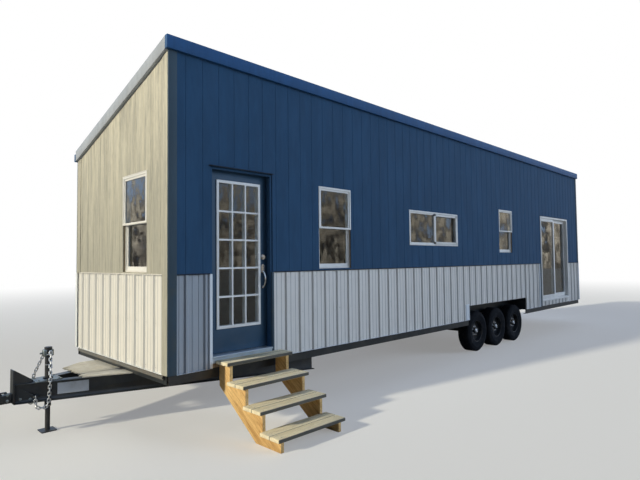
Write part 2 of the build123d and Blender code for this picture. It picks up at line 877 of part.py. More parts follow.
# Cross members: end channels, a row between the inner rails, and outriggers clear of the wheel wells
member_count = int((body_length - 2 * crossmember_pitch) // crossmember_pitch) + 2
with BuildPart() as crossmembers:
    for index in range(member_count):
        x = chassis_start + channel_flange + (index + 1) * crossmember_pitch - crossmember_pitch / 2
        spans = [(inner_rail + channel_flange, body_width - inner_rail - channel_flange)]
        if x + channel_flange < wheel_well_left or x > wheel_well_right:
            spans.append((frame_inset + channel_flange, inner_rail))
            spans.append((body_width - inner_rail, body_width - frame_inset - channel_flange))
        for near, far in spans:
            with BuildSketch(Plane(origin=(bow_x, front_y + near, 0), x_dir=(1, 0, 0), z_dir=(0, -1, 0))):
                channel(x, x + channel_flange)
            extrude(amount=near - far)
    for start, inward in ((chassis_start, channel_flange), (chassis_end, -channel_flange)):
        near = frame_inset + channel_flange
        with BuildSketch(Plane(origin=(bow_x, front_y + near, 0), x_dir=(1, 0, 0), z_dir=(0, -1, 0))):
            channel(start, start + inward)
        extrude(amount=2 * near - body_width)
keep("crossmembers", crossmembers)

# Tongue: two beams that meet at the coupler and run back under the chassis
beam_angle = atan2(tongue_slope, 1)
beam_across = tongue_beam_width / cos(beam_angle)
web_across = channel_web / cos(beam_angle)


def beam_strip(outer_offset, across):
    """Plan of one strip of a beam, clipped at the centre line."""
    outer_front = tongue_half_width - outer_offset - tongue_slope * mount_plate_x
    outer_back = tongue_half_width - outer_offset + tongue_slope * tongue_run_back
    meet = (outer_offset + across - tongue_half_width) / tongue_slope
    points = [
        (-mount_plate_x, max(outer_front, 0)),
        (tongue_run_back, outer_back),
        (tongue_run_back, outer_back - across),
    ]
    if outer_front - across < 0:
        points += [(meet, 0), (-mount_plate_x, 0)] if outer_front > 0 else [(meet, 0)]
    else:
        points.append((-mount_plate_x, outer_front - across))
    Polygon(*[(bow_x + x, centre_y + y) for x, y in points], align=None)


def beam_edge(ahead):
    """Distance of a beam's outer edge from the centre line, some way ahead of the house."""
    return tongue_half_width - tongue_slope * ahead


# Staple on each beam's web for a chain, lying level and pointing away from the tongue
staple_height = (beam_bottom + rail_top) / 2 - staple_drop
web_inset = (beam_across - web_across) / 2
web_sunk = channel_web / 4
staple_root = beam_edge(chain_anchor_x) - web_inset - web_sunk
staple_reach = web_sunk + (web_inset + chain_clear) * cos(beam_angle)
staple_plane = Plane(
    origin=(bow_x - chain_anchor_x, centre_y + staple_root, staple_height),
    x_dir=(cos(beam_angle), sin(beam_angle), 0),
    z_dir=(0, 0, 1),
)
with BuildPart() as tongue_frame:
    for bottom, thickness, offset, across in (
        (beam_bottom, beam_flange, 0, beam_across),
        (beam_bottom, tongue_beam_height, web_inset, web_across),
        (rail_top - beam_flange, beam_flange, 0, beam_across),
    ):
        with BuildSketch(Plane.XY.offset(bottom)):
            beam_strip(offset, across)
        extrude(amount=thickness)
    with BuildLine(staple_plane) as staple_path:
        FilletPolyline(
            (-staple_half, 0),
            (-staple_half, staple_reach),
            (staple_half, staple_reach),
            (staple_half, 0),
            radius=staple_half * 0.7,
        )
    with BuildSketch(Plane(origin=staple_path.line @ 0, z_dir=staple_path.line % 0)):
        Circle(staple_radius)
    sweep(path=staple_path.line)
    mirror(about=Plane(origin=(0, centre_y, 0), z_dir=(0, 1, 0)))
keep("tongue_frame", tongue_frame)

# Coupler mount: upright plate with two gussets standing on the beams
mount_bottom = beam_bottom + mount_above_beam_bottom
mount_top = mount_bottom + mount_plate_height
centre_section = Plane(origin=(bow_x, centre_y, 0), x_dir=(1, 0, 0), z_dir=(0, -1, 0))
with BuildPart() as coupler_mount:
    with BuildSketch(centre_section):
        area(-mount_plate_x - mount_plate_thickness, -mount_plate_x, mount_bottom, mount_top)
    extrude(amount=mount_width / 2, both=True)
    for side in (-1, 1):
        with BuildSketch(centre_section.offset(side * gusset_apart / 2)):
            Polygon(
                (-mount_plate_x, rail_top),
                (-mount_plate_x, mount_top),
                (-mount_plate_x + gusset_length, rail_top + gusset_toe),
                (-mount_plate_x + gusset_length, rail_top),
                align=None,
            )
        extrude(amount=gusset_thickness / 2, both=True)
keep("coupler_mount", coupler_mount)

# Coupler: box bolted low on the plate, with a ball socket under its nose
coupler_bottom = mount_bottom + coupler_above_mount
with BuildPart() as coupler:
    with BuildSketch(centre_section):
        Polygon(
            (-mount_plate_x - mount_plate_thickness, coupler_bottom),
            (-mount_plate_x - mount_plate_thickness, coupler_bottom + coupler_height),
            (nose_radius - coupler_reach, coupler_bottom + coupler_height - coupler_nose_drop),
            (nose_radius - coupler_reach, coupler_bottom),
            align=None,
        )
    extrude(amount=coupler_half_width, both=True)
    with BuildSketch(Plane(origin=(bow_x + nose_radius - coupler_reach, centre_y, coupler_bottom))):
        Circle(nose_radius)
    extrude(amount=coupler_height - coupler_nose_drop)
    with Locations((bow_x + nose_radius - coupler_reach, centre_y, coupler_bottom + ball_height)):
        Sphere(ball_radius, mode=Mode.SUBTRACT)
keep("coupler", coupler)

# Plywood deck on the tongue, its front edge broken off
with BuildPart() as tongue_deck:
    with BuildSketch(Plane.XY.offset(rail_top)):
        outline = [
            (frame_inset, -deck_half_width),
            (frame_inset, deck_half_width),
            (-deck_length * 0.55, deck_half_width - deck_splay * 0.7),
            (-deck_length, deck_half_width - deck_splay * 1.75),
        ]
        for index, bite in enumerate(deck_bites):
            across = deck_half_width - deck_splay * 1.75 - deck_bite_pitch * (index + 1)
            outline.append((bite - deck_length, across))
        outline.append((-deck_length, deck_splay - deck_half_width))
        Polygon(*[(bow_x + x, centre_y + y) for x, y in outline], align=None)
    extrude(amount=deck_thickness)
keep("tongue_deck", tongue_deck)

# Jack: plate on the beams, tube, top gear case and foot
jack_plate_front = jack_x + jack_plate_ahead
jack_plate_back = jack_x - jack_plate_behind
with BuildPart() as jack_plate:
    with BuildSketch(Plane.XY.offset(rail_top)):
        near, far = centre_y - jack_plate_half, centre_y + jack_plate_half
        area(bow_x - jack_plate_front, bow_x - jack_plate_back, near, far)
        with Locations((bow_x - jack_x, centre_y)):
            Circle(jack_radius + jack_clearance, mode=Mode.SUBTRACT)
    extrude(amount=jack_plate_thickness)
keep("jack_plate", jack_plate)

jack_head = jack_top - jack_head_height
jack_flange_bottom = rail_top + jack_plate_thickness
jack_stages = [
    (jack_foot_thickness, jack_collar_height, jack_radius - jack_tube_step),
    (jack_collar_height, jack_head, jack_radius),
    (jack_head, jack_top, jack_radius + jack_head_step),
    (jack_flange_bottom, jack_flange_bottom + jack_flange, jack_radius + jack_flange_step),
]
jack_pin = Vector(bow_x - jack_x, centre_y, jack_top - jack_pin_below_top)
with BuildPart() as tongue_jack:
    with BuildSketch(Plane(origin=(bow_x - jack_x, centre_y, 0))):
        Rectangle(jack_foot, jack_foot)
    extrude(amount=jack_foot_thickness)
    for low, high, radius in jack_stages:
        with BuildSketch(Plane(origin=(bow_x - jack_x, centre_y, low))):
            Circle(radius)
        extrude(amount=high - low)
    with BuildSketch(Plane(origin=jack_pin, z_dir=(0, 1, 0))):
        Circle(jack_pin_radius)
    extrude(amount=jack_pin_reach, both=True)
keep("tongue_jack", tongue_jack)

# One chain link: a bar bent to an eight-sided loop, with its edges taken off
link_pitch = link_inside - link_slack
link_end = (link_inside + link_wire) / 2
link_side = (link_opening + link_wire) / 2
with BuildPart() as chain_link:
    with BuildSketch():
        for half_length, half_width, mode in (
            (link_end + link_wire / 2, link_side + link_wire / 2, Mode.ADD),
            (link_end - link_wire / 2, link_side - link_wire / 2, Mode.SUBTRACT),
        ):
            half_flat = half_width * tan(pi / 8)
            shoulder = half_length - half_width + half_flat
            Polygon(
                (half_length, half_flat),
                (shoulder, half_width),
                (-shoulder, half_width),
                (-half_length, half_flat),
                (-half_length, -half_flat),
                (-shoulder, -half_width),
                (shoulder, -half_width),
                (half_length, -half_flat),
                align=None,
                mode=mode,
            )
    extrude(amount=link_wire / 2, both=True)
    chamfer(chain_link.faces().filter_by(Axis.Z).edges(), link_wire * 0.25)


def chain_links(route, count, planar_length):
    """Centre and direction of each link along a route, and the length left over after the last one.

    A link turns about the middle of the bend of the link that lies in the plane of the turn. Up to
    planar_length that is every second link, beyond it both links share the turn evenly.
    """
    reach = 0.0
    here = route.position_at(0)
    behind = link_pitch / 2
    links = []
    for index in range(count):
        ahead = link_pitch / 2
        if reach < planar_length and index < count - 1:
            ahead = (link_inside - link_opening) / 2
            if index % 2 == 0:
                ahead = link_pitch - ahead
        step = behind + ahead
        for _ in range(4):
            inside = min(reach + step, route.length)
            following = route.position_at(inside, position_mode=PositionMode.LENGTH)
            following += route.tangent_at(1) * (reach + step - inside)
            step += behind + ahead - (following - here).length
        along = (following - here).normalized()
        links.append((here + along * behind, along))
        reach += step
        here = following
        behind = link_pitch - ahead
    return links, route.length - reach


def chain_route(side, crossing, low):
    """From the staple down, round a hanging loop, up over the beam's edge and round the jack's pin."""
    tip = staple_plane.from_local_coords((0, staple_reach, staple_radius))
    start = Vector(tip.X, centre_y + side * (tip.Y - centre_y), tip.Z)
    rise_x = start.X + 2 * chain_loop_radius
    rise_y = centre_y + side * (beam_edge(bow_x - rise_x) + chain_clear)
    edge_y = centre_y + side * (beam_edge(crossing) + chain_clear)
    edge = Vector(bow_x - crossing, edge_y, rail_top + chain_clear)
    pin = jack_pin + Vector(0, side * (jack_pin_reach - chain_pin_inset), 0)
    pull = (pin - edge).normalized()
    tilt = asin(abs(pull.Y))
    end = pin + pull * ((jack_pin_radius + link_wire / 2 * sin(tilt)) / cos(tilt))
    bend = chain_loop_radius * 0.92
    with BuildLine() as route:
        FilletPolyline(
            start,
            Vector(start.X, start.Y, low),
            Vector(rise_x, rise_y, low),
            edge,
            end,
            radius=[bend, bend, chain_bend],
        )
    return route.wire()


def chain_places(side, crossing, planar_share):
    """Planes of a chain's links: each a quarter turn from the last, the first across the staple."""
    low = chain_loop_bottom + link_side
    count = 2 * int(chain_route(side, crossing, low).length / link_pitch / 2)
    for _ in range(6):
        route = chain_route(side, crossing, low)
        links, leftover = chain_links(route, count, route.length * planar_share)
        low += (leftover - link_slack / 10) / 2
    facing = Vector(cos(beam_angle), side * sin(beam_angle), 0)
    places = []
    for index, (middle, along) in enumerate(links):
        if along.Z > 0.5:
            facing -= Vector(chain_twist, 0, 0)
        facing = (facing - along * facing.dot(along)).normalized()
        places.append(Plane(origin=middle, x_dir=along, z_dir=along.cross(facing) if index % 2 else facing))
    return places


with BuildPart() as safety_chains:
    for side, crossing, planar_share in ((-1, near_chain_crossing, 0.5), (1, far_chain_crossing, 1)):
        with Locations(*chain_places(side, crossing, planar_share)):
            add(chain_link.part)
keep("safety_chains", safety_chains)

# Axles, hubs' spindles and springs
wheel_z = tyre_diameter / 2
axle_positions = [first_wheel + index * wheel_spacing for index in range(3)]
hub_outer = tyre_inset + hub_face_inset
hub_inner = tyre_inset + hub_back_inset
with BuildPart() as axles:
    for x in axle_positions:
        for radius, inset in ((spindle_radius, hub_outer), (axle_tube / 2, hub_inner + spindle_root)):
            with BuildSketch(Plane(origin=(bow_x + x, front_y + inset, wheel_z), z_dir=(0, 1, 0))):
                Circle(radius)
            extrude(amount=body_width - 2 * inset)
keep("axles", axles)

spring_insets = (inner_rail + channel_flange / 2, body_width - inner_rail - channel_flange / 2)
spring_seat = wheel_z + axle_tube / 2
eye_reach = spring_half + eye_radius - leaf / 2
eye_height = spring_seat + (leaf_count - 1) * leaf + eye_rise + leaf / 2


def along_wall(x, inset, height):
    """Upright plane facing the entry side, with its origin at a place along and across the house."""
    return Plane(origin=(bow_x + x, front_y + inset, height), x_dir=(1, 0, 0), z_dir=(0, -1, 0))


with BuildPart() as leaf_springs:
    for x in axle_positions:
        for inset in spring_insets:
            for index in range(leaf_count):
                half = spring_half * (1 - leaf_step * (leaf_count - 1 - index))
                rise = eye_rise * (half / spring_half) ** 2
                base = index * leaf
                top = base + leaf
                with BuildSketch(along_wall(x, inset, spring_seat)):
                    with BuildLine():
                        under = ThreePointArc((-half, base + rise), (0, base), (half, base + rise))
                        over = ThreePointArc((-half, top + rise), (0, top), (half, top + rise))
                        Line(under @ 0, over @ 0)
                        Line(under @ 1, over @ 1)
                    make_face()
                extrude(amount=spring_width / 2, both=True)
            with BuildSketch(along_wall(x, inset, eye_height)):
                with Locations((-eye_reach, 0), (eye_reach, 0)):
                    Circle(eye_radius)
            extrude(amount=spring_width / 2, both=True)
            with BuildSketch(along_wall(x, inset, eye_height)):
                with Locations((-eye_reach, 0), (eye_reach, 0)):
                    Circle(shackle_pin_radius + hub_clearance)
            extrude(amount=spring_width / 2, both=True, mode=Mode.SUBTRACT)
keep("leaf_springs", leaf_springs)

# Hangers: a plate under the rail with two cheeks, and a pin through each spring's eye
hanger_half = wheel_spacing / 2 - eye_reach + hanger_margin
cheek_inner = spring_width / 2 + hanger_gap
cheek_outer = cheek_inner + hanger_plate
hanger_places = [axle_positions[0] - wheel_spacing / 2]
hanger_places += [x + wheel_spacing / 2 for x in axle_positions]
with BuildPart() as spring_hangers:
    for inset in spring_insets:
        for x in hanger_places:
            with BuildSketch(Plane(origin=(bow_x + x, front_y + inset, rail_top - hanger_plate))):
                Rectangle(2 * hanger_half, 2 * cheek_outer)
            extrude(amount=hanger_plate)
            for side in (-1, 1):
                with BuildSketch(along_wall(x, inset + side * (cheek_inner + cheek_outer) / 2, eye_height)):
                    Polygon(
                        (-hanger_half, rail_top - eye_height),
                        (-hanger_half, 0),
                        (-hanger_half + hanger_margin, -hanger_margin),
                        (hanger_half - hanger_margin, -hanger_margin),
                        (hanger_half, 0),
                        (hanger_half, rail_top - eye_height),
                        align=None,
                    )
                extrude(amount=hanger_plate / 2, both=True)
        for x in axle_positions:
            with BuildSketch(along_wall(x, inset, eye_height)):
                with Locations((-eye_reach, 0), (eye_reach, 0)):
                    Circle(shackle_pin_radius)
            extrude(amount=cheek_outer + pin_head, both=True)
keep("spring_hangers", spring_hangers)

# Wheels: tyre and steel rim turned about the axle. Profile points are (radius, depth from the outer side).
rim_radius = rim_diameter / 2
bead = rim_radius + hub_clearance
tyre_radius = tyre_diameter / 2
tyre_profile = [
    (bead, bead_depth),
    (wall_bulge_radius, 0),
    (tyre_radius - shoulder_drop, shoulder_depth),
    (tyre_radius, tread_inset),
    (tyre_radius, tyre_width - tread_inset),
    (tyre_radius - shoulder_drop, tyre_width - shoulder_depth),
    (wall_bulge_radius, tyre_width),
    (bead, tyre_width - bead_depth),
]
hub_bore = spindle_radius + hub_clearance
barrel = rim_radius - rim_sheet
lip = rim_radius + rim_lip
hub_floor = hub_face_inset - hub_cap_sheet
rim_profile = [
    (0, hub_cap_depth),
    (hub_cap_radius, hub_cap_depth),
    (hub_cap_radius + hub_cap_flare, disc_depth),
    (barrel, disc_depth + rim_sheet),
    (barrel, lip_depth + rim_lip_fold),
    (lip, lip_depth),
    (lip, lip_depth + rim_lip_fold - 1),
    (rim_radius, bead_depth),
    (rim_radius, tyre_width - bead_depth),
    (lip, tyre_width - lip_depth - rim_lip_fold + 1),
    (lip, tyre_width - lip_depth),
    (barrel, tyre_width - lip_depth - rim_lip_fold),
    (barrel, disc_depth + 2 * rim_sheet),
    (hub_radius + rim_lip_fold, disc_depth + rim_sheet),
    (hub_radius, hub_back_inset),
    (hub_bore, hub_back_inset),
    (hub_bore, hub_floor),
    (0, hub_floor),
]


def turned(profile, plane):
    with BuildPart() as body:
        with BuildSketch(plane):
            Polygon(*profile, align=None)
        revolve(axis=Axis(plane.origin, plane.y_dir))
    return body


for index, x in enumerate(axle_positions):
    for side, inset, inward in (("entry", tyre_inset, 1), ("back", body_width - tyre_inset, -1)):
        wheel_plane = Plane(
            origin=(bow_x + x, front_y + inset, wheel_z),
            x_dir=(0, 0, 1),
            z_dir=(-inward, 0, 0),
        )
        keep(f"tyre_{side}_{index + 1}", turned(tyre_profile, wheel_plane))
        keep(f"rim_{side}_{index + 1}", turned(rim_profile, wheel_plane))


# Entry steps: two notched stringers and four treads. Distances run outwards from the wall.
stringer_top = landing_height - tread_thickness
steps_back = board_proud
notches = [(steps_back, stringer_top)]
for index in range(tread_count):
    front = landing_front + index * step_run - nosing
    level = stringer_top - index * step_rise
    notches += [(front, level), (front, level - step_rise if index < tread_count - 1 else 0)]
back_rise = step_rise / step_run * (stringer_foot_back - steps_back)
notches += [(stringer_foot_back, 0), (steps_back, back_rise)]
with BuildPart() as step_stringers:
    for left in (step_left + stringer_inset, step_left + step_width - stringer_inset - stringer_thickness):
        with BuildSketch(section.offset(left)):
            Polygon(*[(-out, z) for out, z in notches], align=None)
        extrude(amount=stringer_thickness)
keep("step_stringers", step_stringers)

with BuildPart() as step_treads:
    for index in range(tread_count):
        front = landing_front + index * step_run
        back = steps_back if index == 0 else front - tread_depth
        top = landing_height - index * step_rise
        with BuildSketch(section.offset(step_left)):
            area(-front, -back, top - tread_thickness, top)
        extrude(amount=step_width)
keep("step_treads", step_treads)

for name, piece in pieces.items():
    export_step(piece.part, f"parts/{name}.step")
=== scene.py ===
import bpy
import json
import random
from math import atan2, cos, pi, radians, sin
from mathutils import Matrix, Vector


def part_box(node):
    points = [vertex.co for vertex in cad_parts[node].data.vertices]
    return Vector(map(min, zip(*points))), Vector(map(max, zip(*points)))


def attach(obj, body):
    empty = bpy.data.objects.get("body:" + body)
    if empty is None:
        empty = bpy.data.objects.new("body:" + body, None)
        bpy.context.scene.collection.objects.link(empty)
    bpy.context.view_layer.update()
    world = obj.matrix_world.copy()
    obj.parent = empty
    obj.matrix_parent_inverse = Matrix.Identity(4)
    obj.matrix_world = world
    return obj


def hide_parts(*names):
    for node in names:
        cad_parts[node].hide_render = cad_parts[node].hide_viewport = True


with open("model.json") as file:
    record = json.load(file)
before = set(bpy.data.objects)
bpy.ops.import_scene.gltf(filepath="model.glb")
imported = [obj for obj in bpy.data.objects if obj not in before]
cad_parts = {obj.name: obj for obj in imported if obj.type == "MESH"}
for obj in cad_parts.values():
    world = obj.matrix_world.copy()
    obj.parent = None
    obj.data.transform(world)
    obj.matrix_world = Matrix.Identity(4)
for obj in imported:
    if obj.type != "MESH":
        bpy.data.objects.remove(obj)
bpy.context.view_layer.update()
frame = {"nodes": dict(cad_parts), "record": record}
nodes = frame["nodes"]

# Places of the house, read from the frame
sidingThick = 0.012
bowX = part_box("front_wall_left")[0].x - sidingThick
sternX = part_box("front_wall_right")[1].x + sidingThick
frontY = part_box("front_wall_left")[0].y - sidingThick
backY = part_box("back_wall")[1].y + sidingThick
middleY = (frontY + backY) / 2
bodyLength = sternX - bowX
bodyWidth = backY - frontY
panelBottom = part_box("floor_platform")[0].z
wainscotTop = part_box("wainscot_trims")[1].z
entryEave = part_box("side_corner_boards")[1].z
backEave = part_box("rake_fascias")[0].z
roofTilt = atan2(entryEave - backEave, bodyWidth - 2 * sidingThick)

# Each side of the house: its left lower corner seen from outside, and its turn about Z
sides = {
    "entry": (Vector((bowX, frontY, 0)), 0),
    "back": (Vector((sternX, backY, 0)), pi),
    "tongue": (Vector((bowX, backY, 0)), -pi / 2),
    "rear": (Vector((sternX, frontY, 0)), pi / 2),
}

# Openings as left, right, bottom, top in metres along the side
windows = {
    "hungNearDoor": (2.141, 2.774, 1.685, 2.776),
    "slider": (4.196, 5.715, 2.024, 2.599),
    "hungFar": (7.407, 8.026, 1.919, 2.813),
}
endWindow = (bodyWidth - 1.096, bodyWidth - 0.480, 1.681, 2.786)


def holeFor(node):
    low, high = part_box(node)
    return low.x - bowX, high.x - bowX, 0, high.z


entryHole, patioHole, wellHole = (holeFor(node) for node in ("entry_frame", "patio_frame", "wheel_boxes"))
backWellHole = (bodyLength - wellHole[1], bodyLength - wellHole[0], *wellHole[2:])


# Small modelling steps
def leaveEdit():
    if bpy.context.mode != "OBJECT":
        bpy.ops.object.mode_set(mode="OBJECT")


def editAll():
    bpy.ops.object.mode_set(mode="EDIT")
    bpy.ops.mesh.select_all(action="SELECT")


def only(*pieces):
    leaveEdit()
    bpy.ops.object.select_all(action="DESELECT")
    for piece in pieces:
        piece.select_set(True)
    bpy.context.view_layer.objects.active = pieces[0]


def pick(piece, kind, test):
    # Leaves the piece in edit mode with the vertices, edges or faces selected that pass the test
    leaveEdit()
    mesh = piece.data
    for part in (mesh.vertices, mesh.edges, mesh.polygons):
        part.foreach_set("select", [False] * len(part))
    part = {"VERT": mesh.vertices, "EDGE": mesh.edges, "FACE": mesh.polygons}[kind]
    part.foreach_set("select", [bool(test(item)) for item in part])
    bpy.ops.object.mode_set(mode="EDIT")
    bpy.ops.mesh.select_mode(type=kind)


def cut(spot, direction, drop=False):
    bpy.ops.mesh.select_all(action="SELECT")
    bpy.ops.mesh.bisect(plane_co=spot, plane_no=direction, clear_outer=drop)


def insetFront(piece, *rings):
    # Steps the faces that look along -Y inwards, ring by ring: width and depth
    pick(piece, "FACE", lambda f: f.normal.y < -0.9)
    for width, depth in rings:
        bpy.ops.mesh.inset(thickness=width, depth=depth)
    leaveEdit()


def applyShape(piece):
    only(piece)
    bpy.ops.object.transform_apply(location=True, rotation=True, scale=True)


def moved(piece, move=(0, 0, 0), turn=(0, 0, 0)):
    piece.location = Vector(move)
    piece.rotation_euler = turn
    applyShape(piece)
    return piece


def standOn(piece, side):
    corner, turn = sides[side]
    return moved(piece, corner, (0, 0, turn))


def newPiece(name, scale=(1, 1, 1)):
    # Names and scales the primitive that was just added
    piece = bpy.context.object
    piece.name = name
    piece.scale = scale
    applyShape(piece)
    return piece


def copyOf(piece, name):
    twin = piece.copy()
    twin.data = piece.data.copy()
    twin.name = name
    bpy.context.scene.collection.objects.link(twin)
    return twin


def joined(name, parts):
    only(*parts)
    if len(parts) > 1:
        bpy.ops.object.join()
    parts[0].name = parts[0].data.name = name
    return parts[0]


def finishWith(piece, kind, **settings):
    only(piece)
    step = piece.modifiers.new(kind.lower(), kind)
    for key, value in settings.items():
        setattr(step, key, value)
    bpy.ops.object.modifier_apply(modifier=step.name)


def softened(piece, width, segments=2, degrees=30):
    limit = {"limit_method": "ANGLE", "angle_limit": radians(degrees)}
    finishWith(piece, "BEVEL", width=width, segments=segments, **limit)


def weld(piece, distance):
    # Merges close points and leaves the piece in edit mode with everything selected
    only(piece)
    editAll()
    bpy.ops.mesh.remove_doubles(threshold=distance)


def fixNormals(piece):
    weld(piece, 0.00002)
    bpy.ops.mesh.normals_make_consistent(inside=False)
    leaveEdit()


def smooth(piece, degrees=35):
    only(piece)
    bpy.ops.object.shade_smooth_by_angle(angle=radians(degrees))
    return piece


def block(name, low, high, bevel=0, segments=2):
    low, high = Vector(low), Vector(high)
    bpy.ops.mesh.primitive_cube_add(size=1, location=(low + high) / 2)
    piece = newPiece(name, high - low)
    if bevel:
        softened(piece, bevel, segments)
    return piece


def rod(name, start, end, radius, vertices=20, bevel=0):
    start, end = Vector(start), Vector(end)
    bpy.ops.mesh.primitive_cylinder_add(
        vertices=vertices, radius=radius, depth=(end - start).length, location=(start + end) / 2,
        rotation=(end - start).to_track_quat("Z", "Y").to_euler(),
    )
    piece = newPiece(name)
    if bevel:
        softened(piece, bevel, degrees=50)
    return smooth(piece)


def wear(piece, look):
    piece.data.materials.clear()
    piece.data.materials.append(finish[look])


def dress(piece, look, body="house", instead=()):
    wear(piece, look)
    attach(piece, body)
    if instead:
        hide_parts(*instead)


# Node helpers. near is a tree, or a node or socket of the tree that a new node belongs in
def wire(source, target):
    target.id_data.links.new(source, target)


def feed(socket, value):
    # Wires a source to an input, or sets the input to a number, vector or colour
    if isinstance(value, bpy.types.NodeSocket):
        wire(value, socket)
    elif isinstance(value, tuple) and socket.type == "RGBA":
        socket.default_value = (*value, 1)
    else:
        socket.default_value = value


def addNode(near, kind, *sources, **values):
    # Sources feed the inputs in turn; a name feeds the input of that name or sets the node itself
    node = near.id_data.nodes.new(kind)
    for key, value in values.items():
        name = key.replace("_", " ")
        if name in node.inputs:
            feed(node.inputs[name], value)
        else:
            setattr(node, key, value)
    for socket, value in zip(node.inputs, sources):
        feed(socket, value)
    return node


def startGroup(name, inputs, outputs):
    tree = bpy.data.node_groups.new(name, "ShaderNodeTree")
    for label, value in inputs.items():
        kind = "NodeSocketVector" if isinstance(value, tuple) else "NodeSocketFloat"
        tree.interface.new_socket(name=label, in_out="INPUT", socket_type=kind).default_value = value
    for label in outputs:
        tree.interface.new_socket(name=label, in_out="OUTPUT", socket_type="NodeSocketFloat")
    return tree, addNode(tree, "NodeGroupInput").outputs, addNode(tree, "NodeGroupOutput").inputs


def mathNode(operation, first, *others):
    return addNode(first, "ShaderNodeMath", first, *others, operation=operation).outputs[0]


def times(first, second, plus=0.0):
    return mathNode("MULTIPLY_ADD", first, second, plus)


def inverse(value):
    return times(value, -1.0, 1.0)


def mixColour(amount, first, second, blend="MIX"):
    near = amount if isinstance(amount, bpy.types.NodeSocket) else second
    node = addNode(near, "ShaderNodeMix", amount, data_type="RGBA", blend_type=blend)
    feed(node.inputs[6], first)
    feed(node.inputs[7], second)
    return node.outputs[2]


def ramp(source, low, high):
    limits = {"From_Min": low, "From_Max": high, "interpolation_type": "SMOOTHSTEP"}
    return addNode(source, "ShaderNodeMapRange", source, **limits).outputs["Result"]


def noise(place, scale, detail=4, rough=0.55):
    values = {"Scale": scale, "Detail": detail, "Roughness": rough}
    return addNode(place, "ShaderNodeTexNoise", Vector=place, **values).outputs["Fac"]


def stretched(place, scale=(1, 1, 1), turn=0.0):
    values = {"Scale": scale, "Rotation": (turn, 0, 0)}
    return addNode(place, "ShaderNodeMapping", Vector=place, **values).outputs[0]


def vectorMath(operation, first, *others):
    return addNode(first, "ShaderNodeVectorMath", first, *others, operation=operation).outputs


def axesOf(place):
    return addNode(place, "ShaderNodeSeparateXYZ", place).outputs


def trueNormal(near):
    return addNode(near, "ShaderNodeNewGeometry").outputs["True Normal"]


def turnedAway(near):
    # 1 on faces that are turned from the axes, such as the flanks of a rib
    size = axesOf(vectorMath("ABSOLUTE", trueNormal(near))[0])
    return inverse(ramp(mathNode("MAXIMUM", size["X"], size["Y"]), 0.82, 0.97))


def facingEntry(near):
    # 1 on faces that look out from the entry side, 0 on the others
    return ramp(times(axesOf(trueNormal(near))["Y"], -1.0), 0.35, 0.9)


# Shared effects
def makeGrain():
    # Long fibres: fine streaks with slow waves of tone along them
    values = {"Place": (0, 0, 0), "Fibre": (1, 1, 1), "Contrast": 0.5}
    tree, start, end = startGroup("sawnGrain", values, ("Tone", "Height"))
    scaled = vectorMath("MULTIPLY", start["Place"], start["Fibre"])[0]
    fine = noise(scaled, 14, 6, 0.7)
    both = times(fine, 0.6, times(noise(scaled, 2.6, 3, 0.5), 0.4))
    wire(times(mathNode("SUBTRACT", both, 0.5), start["Contrast"], 0.5), end["Tone"])
    wire(fine, end["Height"])
    return tree


def makeDust():
    # Dirt in soft patches, more of it low down where wheels and rain throw it
    values = {"Place": (0, 0, 0), "Top": 0.9, "Amount": 0.5, "Patch": 3.0}
    tree, start, end = startGroup("splashedDirt", values, ("Mask",))
    below = mathNode("SUBTRACT", start["Top"], axesOf(start["Place"])["Z"])
    spread = times(ramp(below, 0.0, 0.6), 0.75, 0.25)
    spots = ramp(noise(start["Place"], start["Patch"], 6, 0.65), 0.42, 0.68)
    wire(times(times(spots, spread), start["Amount"]), end["Mask"])
    return tree


def makeFleck():
    # Small crystals and specks of uneven tone
    tree, start, end = startGroup("metalFleck", {"Place": (0, 0, 0), "Size": 60.0}, ("Tone", "Height"))
    cells = addNode(tree, "ShaderNodeTexVoronoi", Vector=start["Place"], Scale=start["Size"])
    wire(addNode(tree, "ShaderNodeRGBToBW", cells.outputs["Color"]).outputs[0], end["Tone"])
    wire(noise(start["Place"], 35, 5, 0.6), end["Height"])
    return tree


grainGroup, dustGroup, fleckGroup = makeGrain(), makeDust(), makeFleck()


def useGroup(group, place, **values):
    return addNode(place, "ShaderNodeGroup", node_tree=group, Place=place, **values).outputs


def dirtOn(place, top, amount, patch):
    return useGroup(dustGroup, place, Top=top, Amount=amount, Patch=patch)["Mask"]


def startMaterial(name, roughness, **inputs):
    material = bpy.data.materials.new(name)
    material.use_nodes = True
    shader = material.node_tree.nodes["Principled BSDF"]
    for key, value in {"Roughness": roughness, **inputs}.items():
        shader.inputs[key.replace("_", " ")].default_value = value
    return material, shader, addNode(shader, "ShaderNodeTexCoord").outputs["Object"]


def coat(shader, colour, roughness=None):
    wire(colour, shader.inputs["Base Color"])
    if roughness:
        wire(roughness, shader.inputs["Roughness"])


def bump(shader, height, strength, distance):
    node = addNode(shader, "ShaderNodeBump", Height=height, Strength=strength, Distance=distance)
    wire(node.outputs[0], shader.inputs["Normal"])


def shade(colour, share, plus=0):
    return tuple(min(1, c * share + plus) for c in colour)


